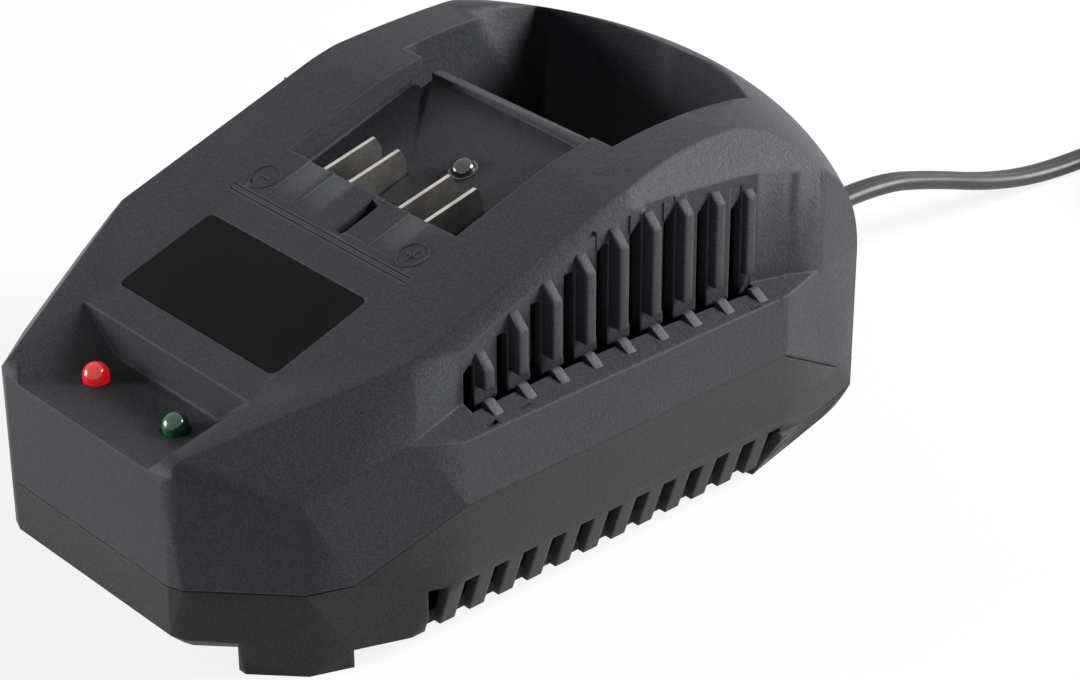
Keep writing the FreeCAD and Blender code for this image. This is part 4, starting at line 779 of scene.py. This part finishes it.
def sweep(name, points, outline, twist):
    """A closed tube along points; outline gives (across, up) pairs and twist turns it along its length."""
    mesh = bpy.data.meshes.new(name)
    bm = bmesh.new()
    rings = []
    travelled = 0.0
    total = sum((b - a).length for a, b in zip(points, points[1:]))
    for index, point in enumerate(points):
        before = points[max(index - 1, 0)]
        after = points[min(index + 1, len(points) - 1)]
        if index:
            travelled += (point - points[index - 1]).length
        ahead = (after - before).normalized()
        across = ahead.cross(Vector((0, 0, 1))).normalized()
        up = across.cross(ahead)
        angle = twist(travelled, total)
        wide = across * math.cos(angle) + up * math.sin(angle)
        tall = up * math.cos(angle) - across * math.sin(angle)
        rings.append([bm.verts.new(point + wide * a + tall * b) for a, b in outline])
    close_rings(bm, rings)
    bmesh.ops.recalc_face_normals(bm, faces=bm.faces)
    bm.to_mesh(mesh)
    bm.free()
    mesh.shade_smooth()
    return link(bpy.data.objects.new(name, mesh))


def flat_lead(width, thickness, groove, steps=10):
    """Section of a flat two-core lead: two rounds side by side with a shallow groove between them."""
    radius = thickness / 2
    shift = width / 2 - radius
    half = []
    for k in range(steps + 1):
        angle = -math.pi / 2 + math.pi * k / steps
        half.append((shift + radius * math.cos(angle), radius * math.sin(angle)))
    top = [(shift * 0.45, radius - groove * 0.35), (0.0, radius - groove)]
    right = half + top
    left = [(-a, -b) for a, b in right]
    return right + left


LEAD_WIDTH = 5.4
LEAD_THICKNESS = 3.4
LEAD_GROOVE = 0.5
LEAD_FLOOR = 2.3
free_route = [
    (0.0, 108.5, 18.0), (0.0, 124.0, 18.4), (0.0, 142.0, 13.2), (0.0, 160.0, 6.6),
    (0.4, 177.0, LEAD_FLOOR + 0.4), (1.8, 196.0, LEAD_FLOOR), (3.0, 213.0, LEAD_FLOOR + 0.3),
]

# Coil of two layers: in along the floor, up one layer where the turns reverse, and out again
COIL_TURNS = 4
POINTS_PER_TURN = 16
COIL_PITCH = 5.05
COIL_INNER = 22.0
COIL_X = 3.0
COIL_Y = 232.0
COIL_LOW = 2.75
COIL_CLIMB = 5.5
shrink = 0.75 + 0.25 * math.cos(2 * math.pi / POINTS_PER_TURN)
centre_x = COIL_X + COIL_INNER + COIL_PITCH * COIL_TURNS
coil_route = []
for step in range(-COIL_TURNS * POINTS_PER_TURN, COIL_TURNS * POINTS_PER_TURN + 1):
    turn = step / POINTS_PER_TURN
    angle = math.pi - 2 * math.pi * (turn + COIL_TURNS)
    radius = (COIL_INNER + COIL_PITCH * abs(turn)) / shrink
    share = min(max(turn * 2 + 0.5, 0.0), 1.0)
    rise = COIL_CLIMB * share ** 2 * (3 - 2 * share)
    coil_route.append((centre_x + radius * math.cos(angle), COIL_Y + radius * math.sin(angle),
                       COIL_LOW + rise))
coil_route[0] = (COIL_X, COIL_Y - 2.0, COIL_LOW)
coil_route[-1] = (COIL_X, COIL_Y + 2.0, 8.0)
tail_route = [(COIL_X, 243.0, 7.5), (COIL_X, 252.5, 7.35)]
controls = [Vector(p) * MM for p in free_route + coil_route + tail_route]
lead_points = route_points(controls)

# Where the lead turns from flat to on edge and back, in metres along it
FLAT_AT_EXIT = 0.085
TURN_IN = 0.045
FLAT_AT_PLUG = 0.004
TURN_OUT = 0.05


def lead_twist(travelled, total):
    """Flat at both ends and on edge in the coil."""
    into = min(max((travelled - FLAT_AT_EXIT) / TURN_IN, 0.0), 1.0)
    out = min(max((total - travelled - FLAT_AT_PLUG) / TURN_OUT, 0.0), 1.0)
    turned = min(into, out)
    return math.pi / 2 * turned ** 2 * (3 - 2 * turned)


section = [(a * MM, b * MM) for a, b in flat_lead(LEAD_WIDTH, LEAD_THICKNESS, LEAD_GROOVE)]
lead = sweep("supply_lead", lead_points, section, lead_twist)
lead.data.materials.append(FINISHES["cord_sheath"])
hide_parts("mains_cord", "cord_coil")
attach(lead, "root")


# Floor, background and light

FLOOR_SIZE = 4.0
FLOOR_WHITE = 0.85


def seen_white(tree):
    """1 for camera, glossy and transmission rays, so that metal and glass show the white surround."""
    path = tree.nodes.new("ShaderNodeLightPath")
    total = path.outputs["Is Camera Ray"]
    for kind in ("Is Glossy Ray", "Is Transmission Ray"):
        joined = tree.nodes.new("ShaderNodeMath")
        joined.operation = "MAXIMUM"
        tree.links.new(total, joined.inputs[0])
        tree.links.new(path.outputs[kind], joined.inputs[1])
        total = joined.outputs[0]
    return total


def floor():
    mesh = bpy.data.meshes.new("floor")
    bm = bmesh.new()
    bmesh.ops.create_grid(bm, x_segments=1, y_segments=1, size=FLOOR_SIZE)
    bm.to_mesh(mesh)
    bm.free()
    obj = link(bpy.data.objects.new("floor", mesh))
    n = Nodes("floor")
    n.put("Base Color", n.ramp(n.noise(3.0), [(0.3, (0.86, 0.86, 0.86)), (0.7, (0.9, 0.9, 0.9))]))
    n.put("Roughness", 0.9)
    n.put("Specular IOR Level", 0.1)
    white = n.add("ShaderNodeEmission", {"Color": (1, 1, 1, 1), "Strength": 1.0})
    share = n.add("ShaderNodeMath", {0: seen_white(n.tree), 1: FLOOR_WHITE}, operation="MULTIPLY").outputs[0]
    mix = n.add("ShaderNodeMixShader", {0: share, 1: n.shader.outputs[0], 2: white.outputs[0]})
    n.tree.links.new(mix.outputs[0], n.tree.nodes["Material Output"].inputs["Surface"])
    obj.data.materials.append(n.material)


def sky(strength):
    world = bpy.data.worlds.new("studio")
    bpy.context.scene.world = world
    world.use_nodes = True
    tree = world.node_tree
    soft = tree.nodes["Background"]
    soft.inputs["Color"].default_value = (0.95, 0.97, 1.0, 1)
    soft.inputs["Strength"].default_value = strength
    white = tree.nodes.new("ShaderNodeBackground")
    white.inputs["Color"].default_value = (1, 1, 1, 1)
    white.inputs["Strength"].default_value = 1.0
    mix = tree.nodes.new("ShaderNodeMixShader")
    tree.links.new(seen_white(tree), mix.inputs[0])
    tree.links.new(soft.outputs[0], mix.inputs[1])
    tree.links.new(white.outputs[0], mix.inputs[2])
    tree.links.new(mix.outputs[0], tree.nodes["World Output"].inputs["Surface"])


def lamp(name, place, target, size, power, colour=(1, 1, 1)):
    data = bpy.data.lights.new(name, "AREA")
    data.shape = "RECTANGLE"
    data.size, data.size_y = size
    data.energy = power
    data.color = colour
    obj = link(bpy.data.objects.new(name, data))
    obj.location = place
    obj.rotation_euler = (Vector(target) - Vector(place)).to_track_quat("-Z", "Y").to_euler()


floor()
sky(0.075)
lamp("rear_key", (0.66, 1.0, 0.62), (0, 0, 0.04), (0.7, 0.7), 37)
lamp("front_fill", (-0.8, -0.9, 0.25), (0, 0, 0.04), (0.7, 0.5), 15)

bpy.context.scene.view_settings.view_transform = "Standard"
bpy.context.scene.view_settings.look = "None"
